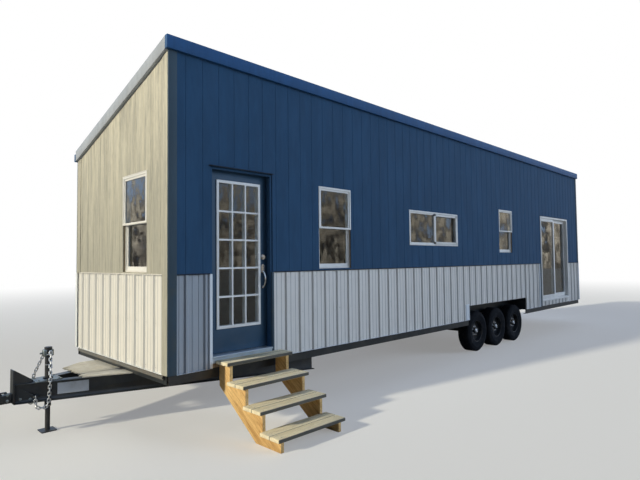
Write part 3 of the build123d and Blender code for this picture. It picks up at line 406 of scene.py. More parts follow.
# Materials
def paintedWood(name, light, dark, fibre, roughness=0.6, depth=0.0006, dirtTop=0.9, dirt=0.25, contrast=1.1,
                blotch=0.35, dirtColour=(0.20, 0.17, 0.13), darkBelow=0.0):
    material, shader, place = startMaterial(name, roughness)
    grain = useGroup(grainGroup, place, Fibre=fibre, Contrast=contrast)
    tone = mixColour(ramp(grain["Tone"], 0.25, 0.75), dark, light)
    cloud = noise(stretched(place, (4.5, 4.5, 0.9)), 1.5, 8, 0.68)
    faded = mixColour(ramp(cloud, 0.38, 0.66), dark, shade(light, 1.25, 0.004))
    soft = mixColour(blotch, tone, faded)
    if darkBelow:
        low = inverse(ramp(axesOf(place)["Z"], 1.7, 3.9))
        soft = mixColour(times(low, darkBelow), soft, dirtColour)
    soiled = mixColour(dirtOn(place, dirtTop, dirt, 2.2), soft, dirtColour)
    coat(shader, soiled, times(grain["Tone"], 0.2, roughness - 0.08))
    bump(shader, grain["Height"], 0.6, depth)
    return material


def bareWood(name, light, dark, grey, fibre, greyAmount, turn=0.0, noseShade=None):
    # turn lays the fibres along a sloping board; the nose colour is painted shade on the faces that look out
    # from the entry side, the boards' front edges
    material, shader, place = startMaterial(name, 0.75, Specular_IOR_Level=0.3)
    along = stretched(place, turn=turn)
    grain = useGroup(grainGroup, along, Fibre=fibre, Contrast=1.8)
    tone = mixColour(ramp(grain["Tone"], 0.15, 0.8), dark, light)
    patches = noise(place, 4.5, 6, 0.6)
    weather = ramp(patches, 0.62 - 0.4 * greyAmount, 0.95 - 0.35 * greyAmount)
    weathered = mixColour(weather, tone, grey)
    checks = noise(stretched(along, Vector(fibre) * 3.5), 9, 3, 0.5)
    checks = ramp(checks, 0.60, 0.72)
    cracked = mixColour(times(checks, 0.55), weathered, shade(dark, 0.3))
    knotPlace = stretched(along, tuple(1.4 * f ** 0.6 for f in fibre))
    knots = addNode(place, "ShaderNodeTexVoronoi", Vector=knotPlace, Scale=1.0).outputs["Distance"]
    knot = inverse(ramp(knots, 0.03, 0.13))
    wood = mixColour(times(knot, 0.7), cracked, shade(dark, 0.35))
    if noseShade:
        wood = mixColour(times(facingEntry(place), 0.9), wood, noseShade)
    coat(shader, wood)
    bump(shader, mathNode("SUBTRACT", grain["Height"], checks), 0.8, 0.0009)
    return material


def coatedSteel(name, colour, roughness, dirtTop, dirt, flankShade=0.0):
    # Enamelled sheet: faint waviness, thin streaks of rain, dirt along the bottom, and painted shade on the
    # flanks of the ribs
    material, shader, place = startMaterial(name, roughness)
    streak = ramp(noise(stretched(place, (9, 9, 0.35)), 3.0, 5), 0.35, 0.8)
    shaded = mixColour(times(streak, 0.35), colour, shade(colour, 0.8))
    mask = dirtOn(place, dirtTop, dirt, 5.0)
    soiled = mixColour(mask, shaded, (0.16, 0.12, 0.08))
    # Painted shade: faces turned from the axes, the flanks of the ribs, take a darker, bluer copy of the
    # colour
    flankShadeColour = tuple(c * share for c, share in zip(colour, (0.36, 0.43, 0.55)))
    ribbed = mixColour(times(turnedAway(place), flankShade), soiled, flankShadeColour)
    coat(shader, ribbed, times(mask, 0.35, roughness))
    bump(shader, noise(stretched(place, (1.6, 1.6, 0.5)), 2.0, 2), 0.25, 0.004)
    return material


def blackSteel(name, rust):
    # Chassis paint with rust at scratches and a veil of road dust
    material, shader, place = startMaterial(name, 0.45)
    rustSpots = ramp(noise(place, 9, 8, 0.7), 0.62 - 0.2 * rust, 0.78)
    grains = ramp(noise(place, 40), 0.3, 0.7)
    speck = mixColour(grains, (0.10, 0.035, 0.014), (0.20, 0.085, 0.035))
    painted = mixColour(times(rustSpots, rust * 1.6), (0.014, 0.018, 0.021), speck)
    dusty = mixColour(dirtOn(place, 1.1, 0.22, 4.0), painted, (0.10, 0.09, 0.075))
    coat(shader, dusty, times(rustSpots, 0.35, 0.4))
    bump(shader, noise(place, 120, 3), 0.35, 0.0006)
    return material


def zincSteel(name, light, dark, stain):
    material, shader, place = startMaterial(name, 0.42, Metallic=0.85)
    fleck = useGroup(fleckGroup, place, Size=130.0)
    zinc = mixColour(fleck["Tone"], dark, light)
    stained = mixColour(dirtOn(place, 1.2, stain, 14.0), zinc, (0.17, 0.12, 0.08))
    coat(shader, stained, times(fleck["Tone"], 0.25, 0.34))
    bump(shader, fleck["Height"], 0.3, 0.0005)
    return material


def plainFinish(name, colour, roughness, dirt, dirtTop, bumpScale, bumpDepth, metallic=0.0):
    material, shader, place = startMaterial(name, roughness, Metallic=metallic)
    tone = mixColour(noise(place, 1.7, 3), shade(colour, 0.9), shade(colour, 1.07))
    soiled = mixColour(dirtOn(place, dirtTop, dirt, 6.0), tone, (0.2, 0.17, 0.13))
    coat(shader, soiled, times(noise(place, 12, 3), 0.14, roughness - 0.07))
    bump(shader, noise(place, bumpScale, 3), 0.3, bumpDepth)
    return material


def clearGlass(name):
    # Clear panes with a thin film of dirt
    material, shader, place = startMaterial(name, 0.02, IOR=1.5, Transmission_Weight=1.0)
    film = dirtOn(place, 2.6, 0.35, 3.0)
    tint = mixColour(film, (0.86, 0.9, 0.9), (0.62, 0.62, 0.58))
    coat(shader, tint, times(film, 0.12, 0.01))
    return material


def rubber(name):
    material, shader, place = startMaterial(name, 0.9, Specular_IOR_Level=0.15)
    base = mixColour(noise(place, 6), (0.005, 0.006, 0.008), (0.012, 0.013, 0.016))
    coat(shader, mixColour(dirtOn(place, 0.9, 0.18, 9.0), base, (0.08, 0.075, 0.07)))
    bump(shader, noise(place, 150, 3), 0.4, 0.0005)
    return material


def liningAndCore(name, inside, outside, boardWidth=0.0):
    # Faces that look into the room take the lining's colour, the others that of the sheathing
    material, shader, place = startMaterial(name, 0.6)
    fromMiddle = vectorMath("SUBTRACT", place, (0, middleY, panelBottom + 1.2))[0]
    facing = vectorMath("DOT_PRODUCT", fromMiddle, trueNormal(place))["Value"]
    grain = useGroup(grainGroup, place, Fibre=(0.5, 6, 6), Contrast=1.0)
    wood = mixColour(ramp(grain["Tone"], 0.3, 0.7), shade(inside, 0.8), inside)
    core = mixColour(grain["Tone"], shade(outside, 0.85), outside)
    coat(shader, mixColour(mathNode("LESS_THAN", facing, 0.0), core, wood))
    if boardWidth:
        gap = mathNode("PINGPONG", axesOf(place)["Y"], boardWidth / 2)
        bump(shader, ramp(gap, 0.0, 0.004), 0.7, 0.003)
    else:
        bump(shader, grain["Height"], 0.2, 0.0003)
    return material


def plankFloor(name):
    material, shader, place = startMaterial(name, 0.45)
    brick = addNode(
        place, "ShaderNodeTexBrick", Vector=place, Scale=1.0, Mortar_Size=0.0015, Brick_Width=1.22,
        Row_Height=0.18, Color1=(0.36, 0.27, 0.18), Color2=(0.44, 0.34, 0.24), Mortar=(0.05, 0.04, 0.03),
    ).outputs
    grain = useGroup(grainGroup, place, Fibre=(0.7, 10, 10), Contrast=1.2)
    streaks = mixColour(ramp(grain["Tone"], 0.3, 0.7), (0.55, 0.5, 0.45), (1, 1, 1))
    coat(shader, mixColour(1, brick["Color"], streaks, "MULTIPLY"))
    bump(shader, brick["Fac"], -0.4, 0.001)
    return material


painted = {
    "navySiding": dict(
        light=(0.017, 0.066, 0.142), dark=(0.011, 0.049, 0.107), fibre=(9, 9, 0.45),
        roughness=0.7, depth=0.0008, dirtTop=1.7, dirt=0.03,
    ),
    "paleSiding": dict(
        light=(0.68, 0.645, 0.53), dark=(0.33, 0.32, 0.275), fibre=(11, 11, 0.5),
        roughness=0.7, depth=0.001, dirtTop=2.3, dirt=0.1, dirtColour=(0.26, 0.26, 0.225),
        contrast=2.3, blotch=0.22, darkBelow=0.5,
    ),
    "navyTrim": dict(
        light=(0.012, 0.080, 0.215), dark=(0.008, 0.059, 0.163), fibre=(7, 7, 0.4),
        roughness=0.55, depth=0.0004, dirtTop=0.8, dirt=0.1,
    ),
    "cornerPaint": dict(
        light=(0.037, 0.066, 0.090), dark=(0.026, 0.050, 0.071), fibre=(9, 9, 0.45),
        dirtTop=2.1, dirt=0.7, dirtColour=(0.055, 0.065, 0.062),
    ),
    "paleTrim": dict(
        light=(0.41, 0.445, 0.50), dark=(0.33, 0.36, 0.41), fibre=(7, 7, 0.4),
        roughness=0.55, depth=0.0004, dirtTop=0.8, dirt=0.2,
    ),
}
bare = {
    "plywood": dict(
        light=(0.76, 0.73, 0.65), dark=(0.49, 0.47, 0.41), grey=(0.72, 0.71, 0.67), fibre=(0.5, 6, 6),
        greyAmount=0.7,
    ),
    "tread": dict(
        light=(0.95, 0.86, 0.62), dark=(0.62, 0.53, 0.36), grey=(0.76, 0.71, 0.57), fibre=(0.5, 7, 7),
        # The near-black nose colour is painted shade on the treads' front faces
        greyAmount=0.35, noseShade=(0.035, 0.04, 0.045),
    ),
    "pine": dict(
        light=(0.84, 0.58, 0.26), dark=(0.42, 0.22, 0.07), grey=(0.50, 0.43, 0.30), fibre=(7, 0.45, 7),
        greyAmount=0.15, turn=radians(-35.4),
    ),
}
others = {
    # Colour, roughness, top of the dirt, its amount, painted shade on the flanks of ribs
    "creamSheet": (coatedSteel, (0.81, 0.795, 0.76), 0.38, 0.95, 0.15, 0.32),
    # A darker blue-grey copy of the cream sheet: painted shade for the strip left of the door
    "greySheet": (coatedSteel, (0.365, 0.405, 0.45), 0.38, 0.95, 0.15, 0.5),
    # The blue tint of this white is painted shade, the cool sky light on the shaded side
    "whiteTrim": (coatedSteel, (0.80, 0.85, 0.90), 0.35, 0.85, 0.1),
    # Near-black: partly painted shade, the shadow line along the flashings
    "flashing": (coatedSteel, (0.012, 0.024, 0.045), 0.5, 0.9, 0.05),
    "greySkirt": (coatedSteel, (0.15, 0.15, 0.14), 0.5, 1.2, 0.5),
    "roofSheet": (coatedSteel, (0.10, 0.12, 0.145), 0.42, 9.0, 0.18),
    # Colour, roughness, amount of dirt, its top, scale and depth of the bumps, metallic
    "doorPaint": (plainFinish, (0.025, 0.064, 0.112), 0.42, 0.12, 1.1, 30, 0.0003),
    "darkSteel": (plainFinish, (0.022, 0.024, 0.028), 0.5, 0.25, 1.0, 90, 0.0004, 0.3),
    "brightSteel": (plainFinish, (0.72, 0.72, 0.72), 0.22, 0.15, 0.8, 200, 0.0001, 1.0),
    "vinyl": (plainFinish, (0.84, 0.84, 0.82), 0.35, 0.1, 3.0, 40, 0.00015),
    "nickel": (plainFinish, (0.50, 0.49, 0.47), 0.24, 0.0, 0.5, 300, 0.0001, 1.0),
    # The blue tint of this bare metal is painted sky light on the shaded sill
    "sill": (plainFinish, (0.50, 0.58, 0.66), 0.42, 0.3, 1.0, 80, 0.0002, 0.6),
    "barePlate": (plainFinish, (0.72, 0.79, 0.88), 0.4, 0.25, 1.0, 120, 0.0001),
    "rim": (plainFinish, (0.022, 0.025, 0.03), 0.4, 0.3, 0.9, 60, 0.0004, 0.3),
    # Share of rust
    "blackSteel": (blackSteel, 0.15),
    "rustySteel": (blackSteel, 0.55),
    # Light and dark flecks, stain
    "zinc": (zincSteel, (0.62, 0.63, 0.64), (0.34, 0.35, 0.36), 0.3),
    "dullZinc": (zincSteel, (0.30, 0.33, 0.32), (0.15, 0.17, 0.165), 0.5),
    # Lining, sheathing, width of the boards
    "lining": (liningAndCore, (0.50, 0.40, 0.29), (0.30, 0.24, 0.16)),
    "ceiling": (liningAndCore, (0.50, 0.37, 0.24), (0.30, 0.24, 0.16), 0.14),
    "glass": (clearGlass,),
    "rubber": (rubber,),
    "planks": (plankFloor,),
}
finish = {name: paintedWood(name, **values) for name, values in painted.items()}
finish |= {name: bareWood(name, **values) for name, values in bare.items()}
finish |= {name: maker(name, *values) for name, (maker, *values) in others.items()}
print("materials ready:", len(finish))

# The finish that each of the record's slots shows on the frame's own pieces
slotFinish = {
    "wall_boards_dark": "lining", "wall_boards_pale": "lining", "floor_wood": "planks",
    "roof_wood": "ceiling", "roof_steel": "roofSheet", "trim_dark": "navyTrim", "trim_pale": "paleTrim",
    "cladding_steel": "creamSheet", "door_paint": "doorPaint", "sill_metal": "sill", "white_vinyl": "vinyl",
    "clear_glass": "glass", "door_hardware": "nickel", "steel_hardware": "zinc",
    "chassis_steel": "blackSteel", "galvanised": "zinc", "weathered_plywood": "plywood",
    "tread_wood": "tread", "stringer_wood": "pine", "tyre": "rubber", "wheel_steel": "rim",
}
# Nodes that differ from their slot, such as the black jack
nodeFinish = {
    "tongue_jack": "darkSteel", "jack_plate": "dullZinc", "safety_chains": "zinc",
    "wainscot_trims": "whiteTrim", "end_corner_boards": "paleSiding", "entry_hinges": "nickel",
    "side_corner_boards": "cornerPaint", "entry_frame": "navySiding",
}
# Nodes that a copy with rounded edges stands for, under the round in metres
softEdges = {
    0.003: (
        "step_stringers", "side_corner_boards", "eave_fascias", "rake_fascias", "entry_threshold",
        "patio_frame", "patio_fixed_panel", "patio_sliding_panel", "tongue_frame",
    ),
    0.002: (
        "entry_door", "entry_frame", "entry_lite_frame", "hung_window_frames", "slider_window_frame",
        "coupler_mount", "coupler", "jack_plate",
    ),
}
bodyOf = {node: body for body, held in frame["record"]["behaviour"]["bodies"].items() for node in held}


def finishNodes():
    rounds = {name: width for width, names in softEdges.items() for name in names}
    for row in frame["record"]["subparts"]:
        name, slot = row["node"], row["material_slot"]
        look = nodeFinish.get(name, slotFinish[slot])
        wear(nodes[name], look)
        if name in rounds:
            piece = copyOf(nodes[name], name + "_rounded")
            weld(piece, 0.00005)
            softened(piece, rounds[name], degrees=40)
            dress(smooth(piece, 30), look, bodyOf[name], (name,))
    print("frame pieces finished:", len(nodes))


finishNodes()


# Grooved board walls and ribbed sheets come from the same kind of folded sheet
def foldedSheet(name, left, right, low, high, folds, holes=(), slope=None):
    # folds holds (centre, outer half width, inner half width, depth inwards)
    bpy.ops.mesh.primitive_plane_add(
        size=1, location=((left + right) / 2, 0, (low + high) / 2), rotation=(pi / 2, 0, 0)
    )
    piece = newPiece(name, (right - left, high - low, 1))
    editAll()
    depths = {}
    for centre, outer, inner, depth in folds:
        if centre - outer <= left or centre + outer >= right:
            continue
        for x in (centre - outer, centre + outer, centre - inner, centre + inner):
            cut((x, 0, 0), (1, 0, 0))
        depths[round(centre - inner, 4)] = depths[round(centre + inner, 4)] = depth
    for holeLeft, holeRight, holeLow, holeHigh in holes:
        for x in (holeLeft, holeRight):
            if left < x < right:
                cut((x, 0, 0), (1, 0, 0))
        for z in (holeLow, holeHigh):
            if low < z < high:
                cut((0, 0, z), (0, 0, 1))
    if slope:
        cut(*slope, drop=True)

    def inHole(face):
        x, _, z = face.center
        return any(a < x < b and c < z < d for a, b, c, d in holes)

    pick(piece, "FACE", inHole)
    bpy.ops.mesh.delete(type="FACE")
    for depth in sorted(set(depths.values())):
        pick(piece, "VERT", lambda v: depths.get(round(v.co.x, 4)) == depth)
        bpy.ops.transform.translate(value=(0, depth, 0))
    leaveEdit()
    return piece


def backToPlane(piece, depth):
    # Gives the sheet a flat back at this depth
    editAll()
    bpy.ops.mesh.extrude_region_move(TRANSFORM_OT_translate={"value": (0, depth, 0)})
    bpy.ops.transform.resize(value=(1, 0, 1), center_override=(0, depth, 0))
    fixNormals(piece)
    return piece


boards = {"pitch": 0.2032, "first": 0.19, "half": 0.0055, "floorHalf": 0.0025, "depth": 0.0028}


def boardWall(name, side, look, slot, left, right, high, holes=(), slope=None):
    groove = boards["half"], boards["floorHalf"], boards["depth"]
    count = int((right - boards["first"]) / boards["pitch"]) + 1
    folds = [(boards["first"] + i * boards["pitch"], *groove) for i in range(count)]
    sheet = foldedSheet(name, left, right, wainscotTop, high, folds, holes, slope)
    dress(standOn(backToPlane(sheet, sidingThick), side), look)


def makeSiding():
    dark, pale = ("navySiding", "wall_boards_dark"), ("paleSiding", "wall_boards_pale")
    entryHoles = [*windows.values(), entryHole, patioHole]
    boardWall("entrySideSiding", "entry", *dark, 0.0, bodyLength, entryEave, entryHoles)
    boardWall("backSiding", "back", *dark, 0.0, bodyLength, backEave)
    ends = (("tongue", bodyWidth, -sin(roofTilt), [endWindow]), ("rear", 0, sin(roofTilt), []))
    for side, atEntry, lean, holes in ends:
        slope = ((atEntry, 0, entryEave), (lean, 0, cos(roofTilt)))
        left, right = sidingThick, bodyWidth - sidingThick
        boardWall(side + "EndSiding", side, *pale, left, right, entryEave + 0.1, holes, slope)
    print("siding made")


makeSiding()


# Ends of sheets and trims in metres along their side, and what covers them
edges = {
    "corner": 0.092, "doorLeft": 0.476, "doorRight": 1.367, "patioLeft": patioHole[0] - 0.133,
    "endCorner": 0.113, "endTrim": 0.125, "pastCorner": 0.094,
}
ribs = {
    "pitch": 0.2286, "first": 0.2064, "half": 0.0275, "crestHalf": 0.0115, "height": 0.019,
    "minorHalf": 0.011, "minorCrest": 0.006, "minorHeight": 0.004, "sheet": 0.0012, "inset": 0.0008,
}
screw = {
    "washer": 0.0075, "washerThick": 0.002, "head": 0.0045, "height": 0.0065,
    "besideRib": 0.043, "sunk": 0.002,
}


def ribFolds(right):
    folds = []
    for i in range(int((right - ribs["first"]) / ribs["pitch"]) + 2):
        centre = ribs["first"] + i * ribs["pitch"]
        folds.append((centre, ribs["half"], ribs["crestHalf"], -ribs["height"]))
        for share in (-1 / 3, -2 / 3):
            middle = centre + share * ribs["pitch"]
            folds.append((middle, ribs["minorHalf"], ribs["minorCrest"], -ribs["minorHeight"]))
    return folds


def ribbedSheet(name, side, left, right, low, high, hole):
    piece = foldedSheet(name, left, right, low, high, ribFolds(right), [hole] if hole else [])
    moved(piece, (0, sidingThick - ribs["inset"], 0))
    finishWith(piece, "SOLIDIFY", thickness=ribs["sheet"], offset=-1)
    return standOn(piece, side)


def hexScrew():
    # Washered hex head of a cladding screw, pointing out along -Y
    under = (0, -screw["washerThick"], 0)
    washer = rod("screwWasher", (0, 0, 0), under, screw["washer"], 10)
    head = rod("screw", under, (0, -screw["height"], 0), screw["head"], 6)
    return joined("screw", [head, washer])


def screwRows(side, left, right, heights):
    first = int((left - ribs["first"]) / ribs["pitch"]) + 1
    start = ribs["first"] + first * ribs["pitch"] + screw["besideRib"]
    count = int((right - 0.01 - start) / ribs["pitch"]) + 1
    spacing = {"use_relative_offset": False, "use_constant_offset": True}
    rows = []
    for z in heights if count > 0 else ():
        row = moved(hexScrew(), (start, sidingThick - screw["sunk"], z))
        finishWith(row, "ARRAY", count=count, constant_offset_displace=(ribs["pitch"], 0, 0), **spacing)
        rows.append(standOn(row, side))
    return rows


def makeWainscot():
    low, high = panelBottom, wainscotTop
    heights = (low + 0.045, low + 0.5, high - 0.06)
    farEnd, farCorner = bodyLength - sidingThick, bodyWidth - sidingThick
    runs = [
        ("entry", edges["corner"], edges["doorLeft"], low, high, None),
        ("entry", edges["doorRight"], edges["patioLeft"], low, high, wellHole),
        ("entry", patioHole[1], farEnd, low, high, None),
        ("entry", patioHole[0], patioHole[1], low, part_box("patio_frame")[0].z, None),
        ("back", sidingThick, farEnd, low, high, backWellHole),
        ("tongue", sidingThick, farCorner - edges["endCorner"], low, high, None),
        ("rear", sidingThick, farCorner, low, high, None),
    ]
    sheets, screws = [], []
    for index, (side, left, right, bottom, top, hole) in enumerate(runs):
        sheets.append(ribbedSheet(f"run{index}", side, left, right, bottom, top, hole))
        if top - bottom > 0.5:  # the strip below the patio door has no screws
            for start, end in [(left, hole[0]), (hole[1], right)] if hole else [(left, right)]:
                screws += screwRows(side, start, end, heights[:1])
            screws += screwRows(side, left, right, heights[1:])
    # The strip left of the door wears a darker blue-grey copy of the cream sheet, as painted shade
    strip = sheets.pop(0)
    strip.name = "paintedShadeStripSheet"
    dress(strip, "greySheet")
    sheet = joined("wainscotSheets", sheets)
    dress(sheet, "creamSheet", instead=("side_wainscot", "end_wainscot"))
    dress(joined("wainscotScrews", screws), "creamSheet")
    print("ribbed wainscot made")


makeWainscot()


# Tyres: rings are the steps of a sidewall from the shoulder inwards, as width and height
tyre = {
    "segments": 80, "bands": 5, "groove": 0.007, "blockInset": 0.0022, "blockHeight": 0.008,
    "treadShare": 0.76, "bead": 0.205,
    "rings": (
        (0.012, 0.010), (0.022, 0.009), (0.030, 0.006), (0.004, 0.002), (0.006, 0.0), (0.004, -0.002),
        (0.045, -0.001), (0.030, -0.010), (0.012, -0.008),
    ),
}


def makeTyre(name, low, high):
    treadWidth = (high.y - low.y) * tyre["treadShare"]
    pitch = treadWidth / tyre["bands"]
    radius = (high.z - low.z) / 2 - tyre["blockHeight"]
    bpy.ops.mesh.primitive_cylinder_add(
        vertices=tyre["segments"], radius=radius, depth=treadWidth, rotation=(pi / 2, 0, 0)
    )
    piece = newPiece(name)
    editAll()
    for index in range(1, tyre["bands"]):
        for shift in (-tyre["groove"] / 2, tyre["groove"] / 2):
            cut((0, -treadWidth / 2 + index * pitch + shift, 0), (0, 1, 0))

    def onBlock(face):
        place = (face.center.y + treadWidth / 2) / pitch
        aside = abs(place - round(place)) * pitch > tyre["groove"] / 2
        return abs(face.normal.y) <= 0.5 and (aside or place < 0.2 or place > tyre["bands"] - 0.2)

    def onSide(face):
        return len(face.vertices) > tyre["segments"] / 2

    pick(piece, "FACE", onBlock)
    bpy.ops.mesh.inset(thickness=tyre["blockInset"], use_individual=True, use_boundary=True)
    bpy.ops.transform.shrink_fatten(value=tyre["blockHeight"])
    for sign in (-1, 1):
        pick(piece, "FACE", lambda f: f.normal.y * sign > 0.5 and onSide(f))
        for width, height in tyre["rings"]:
            bpy.ops.mesh.inset(thickness=width, depth=height)
    pick(piece, "FACE", onSide)
    share = tyre["bead"] / (radius - sum(width for width, height in tyre["rings"]))
    bpy.ops.transform.resize(value=(share, 1, share), center_override=(0, 0, 0))
    bpy.ops.mesh.bridge_edge_loops()
    fixNormals(piece)
    return smooth(moved(piece, (low + high) / 2), 40)


wheels = [(side, index) for side in ("entry", "back") for index in (1, 2, 3)]
tyreBoxes = [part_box(f"tyre_{side}_{index}") for side, index in wheels]


def makeTyres():
    # All six are copied before any is dressed, so that each stands only for its own node
    first = makeTyre("treadedTyre_entry_1", *tyreBoxes[0])
    home = sum(tyreBoxes[0], Vector()) / 2
    tyres = [first] + [
        moved(copyOf(first, f"treadedTyre_{side}_{index}"), (low + high) / 2 - home)
        for (side, index), (low, high) in zip(wheels[1:], tyreBoxes[1:])
    ]
    for piece, (side, index) in zip(tyres, wheels):
        dress(piece, "rubber", f"wheel_{side}_{index}", (f"tyre_{side}_{index}",))
    print("tyres made")


makeTyres()


# Bent flashings: dark over the doors and the long wainscots, pale at the ends. The near-black of the dark
# ones is partly painted shade, the shadow line above the sheets and openings
ledges = {"thick": 0.003, "upstand": 0.010, "lip": 0.004, "lipThick": 0.0012, "backOut": 0.0015}


def ledge(name, side, left, right, height, proud):
    top, back = height + ledges["thick"], sidingThick / 2
    return standOn(joined(name, [
        block(name, (left, -proud, height), (right, back, top)),
        block(name, (left, -proud, height - ledges["lip"]), (right, ledges["lipThick"] - proud, top)),
        block(name, (left, -ledges["backOut"], height), (right, back, height + ledges["upstand"])),
    ]), side)


def ledgeRun(name, look, runs):
    parts = [ledge(f"{name}{index}", *run) for index, run in enumerate(runs)]
    dress(joined(name, parts), look)


def makeFlashings():
    # Runs hold the side, left, right, height and reach
    farCorner = bodyLength - edges["corner"]
    ledgeRun("darkFlashings", "flashing", [
        ("entry", edges["pastCorner"], entryHole[0] - 0.004, wainscotTop, 0.010),
        ("entry", entryHole[1] + 0.016, patioHole[0] - 0.1, wainscotTop, 0.010),
        ("entry", patioHole[1], farCorner, wainscotTop, 0.010),
        ("back", edges["corner"], farCorner, wainscotTop, 0.010),
        ("entry", entryHole[0] - 0.014, entryHole[1] + 0.014, entryHole[3], 0.026),
        ("entry", patioHole[0] - 0.012, patioHole[1] + 0.012, patioHole[3], 0.012),
    ])
    ledgeRun("paleFlashings", "creamSheet", [
        ("tongue", edges["endCorner"], bodyWidth - edges["endTrim"], wainscotTop, 0.008),
        ("rear", edges["endTrim"], bodyWidth - edges["endTrim"], wainscotTop, 0.008),
        ("tongue", endWindow[0] - 0.006, endWindow[1] + 0.006, endWindow[3], 0.006),
    ])
    print("flashings made")


makeFlashings()


# Bent trims that close the sheets from below, and a flat one beside the wheel well
baseTrim = {
    "out": 0.0095, "thick": 0.0025, "drop": 0.0004, "wellLeft": 5.948, "wellTop": 0.941, "wellOut": 0.010,
    "wellFace": (0.018, -0.002),
}


def makeBaseTrims():
    farEnd, farCorner = bodyLength - sidingThick, bodyWidth - sidingThick
    runs = [
        ("tongue", sidingThick, bodyWidth - edges["endTrim"]),
        ("rear", sidingThick, farCorner),
        ("entry", edges["pastCorner"], edges["doorLeft"]),
        ("entry", edges["doorRight"], wellHole[0]),
        ("entry", wellHole[1], edges["patioLeft"]),
        ("entry", patioHole[1], farEnd),
        ("back", sidingThick, backWellHole[0]),
        ("back", backWellHole[1], farEnd),
    ]
    top = panelBottom - baseTrim["drop"]
    low, back = top - baseTrim["thick"], sidingThick - 0.002
    parts = [
        standOn(block("shelf", (left, -baseTrim["out"], low), (right, back, top), 0.0008), side)
        for side, left, right in runs
    ]
    start = (baseTrim["wellLeft"], -baseTrim["wellOut"], panelBottom + 0.001)
    board = block("wellTrim", start, (wellHole[0] - 0.002, 0.004, baseTrim["wellTop"]), 0.002)
    insetFront(board, baseTrim["wellFace"])
    dress(joined("baseTrims", [*parts, standOn(board, "entry")]), "whiteTrim")
    print("base trims made")


makeBaseTrims()


# Skirt of bent grey sheet on the steel below the tongue end
skirt = {
    "thick": 0.002, "fold": 0.010, "bottom": 0.600, "foldAt": 0.632, "foldThick": 0.004, "ends": 0.10,
    "rivets": 9, "rivetPitch": 0.28, "rivetZ": 0.620, "rivet": 0.005,
}


def makeSkirt():
    left, right = skirt["ends"], bodyWidth - skirt["ends"]
    out, foldTop = -skirt["fold"] - skirt["thick"], skirt["foldAt"] + skirt["foldThick"]
    face = block("face", (left, -skirt["thick"], skirt["bottom"]), (right, 0, panelBottom - 0.002))
    insetFront(face, (0.006, 0))
    fold = block("fold", (left, -skirt["fold"], skirt["foldAt"]), (right, 0, foldTop), 0.001)
    lip = block("lip", (left, out, skirt["bottom"] + 0.01), (right, -skirt["fold"], foldTop), 0.0008)
    places = [left + 0.05 + i * skirt["rivetPitch"] for i in range(skirt["rivets"])]
    rivets = [
        rod("rivet", (x, out, skirt["rivetZ"]), (x, out - 0.003, skirt["rivetZ"]), skirt["rivet"], 12, 0.001)
        for x in places
    ]
    dress(standOn(joined("endSkirt", [face, fold, lip, *rivets]), "tongue"), "greySkirt")
    print("skirt made")


makeSkirt()


# Outer sash of the sliding window, and the bent pan that runs down from the entry's sill
sash = {"stile": 0.058, "rail": 0.036, "deep": 0.026, "out": 0.006, "lap": 0.030, "inner": 0.030}
sillPan = {
    "left": 0.511, "right": 1.332, "low": 0.700, "top": 0.757, "out": 0.004, "bend": 0.004, "hem": 0.003,
}


def makeSash():
    left, right, low, high = windows["slider"]
    start = (left + right) / 2 - sash["lap"]
    low, high, end = low + sash["inner"], high - sash["inner"], right - sash["inner"]
    bars = [
        ((start, low), (start + sash["stile"], high)),
        ((end - sash["rail"], low), (end, high)),
        ((start, low), (end, low + sash["rail"])),
        ((start, high - sash["rail"]), (end, high)),
    ]
    parts = [
        block("bar", (a[0], -sash["out"], a[1]), (b[0], sash["deep"] - sash["out"], b[1]), 0.003)
        for a, b in bars
    ]
    dress(standOn(joined("outerSash", parts), "entry"), "vinyl")


def makeSillPan():
    left, right, low = sillPan["left"], sillPan["right"], sillPan["low"]
    pan = block("pan", (left, -sillPan["out"], low), (right, sidingThick - 0.001, sillPan["top"]))
    spots = [v.co for v in pan.data.vertices]
    pick(pan, "EDGE", lambda e: all(spots[v].y < 0 and spots[v].z > 0.75 for v in e.vertices))
    bpy.ops.mesh.bevel(offset=sillPan["bend"], segments=3)
    leaveEdit()
    hem = rod("hem", (left, -0.003, low + 0.001), (right, -0.003, low + 0.001), sillPan["hem"], 12)
    dress(standOn(joined("sillPan", [pan, hem]), "entry"), "sill")
    print("sash and sill pan made")


makeSash()
makeSillPan()


# Steps: boards with worn round noses, screwed down to the stringers
steps = {
    "count": 4, "front": 0.226, "run": 0.275, "rise": 0.1955, "depth": 0.290, "thick": 0.038,
    "wallGap": 0.007, "frontBoard": 0.140, "gap": 0.0025, "round": 0.008,
    "screw": 0.0045, "across": (0.064, 0.083), "along": (0.25, 0.75),
}


def makeSteps():
    low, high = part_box("step_treads")
    treads, screws = [], []
    for index in range(steps["count"]):
        front = frontY - steps["front"] - index * steps["run"]
        back = front + steps["depth"] if index else frontY - steps["wallGap"]
        top = high.z - index * steps["rise"]
        split = front + steps["frontBoard"]
        for number, (near, far) in enumerate([(front, split), (split + steps["gap"], back)]):
            corners = (low.x, near, top - steps["thick"]), (high.x, far, top)
            treads.append(smooth(block(f"board{index}{number}", *corners, steps["round"], 3), 50))
            for x in (low.x + steps["across"][0], high.x - steps["across"][0]):
                for share in steps["along"]:
                    y = near + (far - near) * share
                    ends = (x, y, top - 0.002), (x, y, top + 0.0004)
                    screws.append(rod("treadScrew", *ends, steps["screw"], 10))
    dress(joined("treadBoards", treads), "tread", instead=("step_treads",))
    dress(joined("treadScrews", screws), "darkSteel")
    print("steps made")


makeSteps()


# Tongue deck: plywood plies that end in torn splinters. near and far are the ends of its cut
# corners, ahead of the wall and beside the middle; bites are the wear of the front edge
deck = {
    "plies": 4, "teeth": 26, "seed": 11, "shred": 0.105, "short": 0.012,
    "near": ((0.0, -0.425), (0.450, -0.228)), "far": ((0.189, 0.612), (0.450, 0.411)),
    "bites": [mm / 1000 for mm in (0, 3, 6, 14, 8, 22, 30, 16, 34, 26, 12, 4, 0)],
}


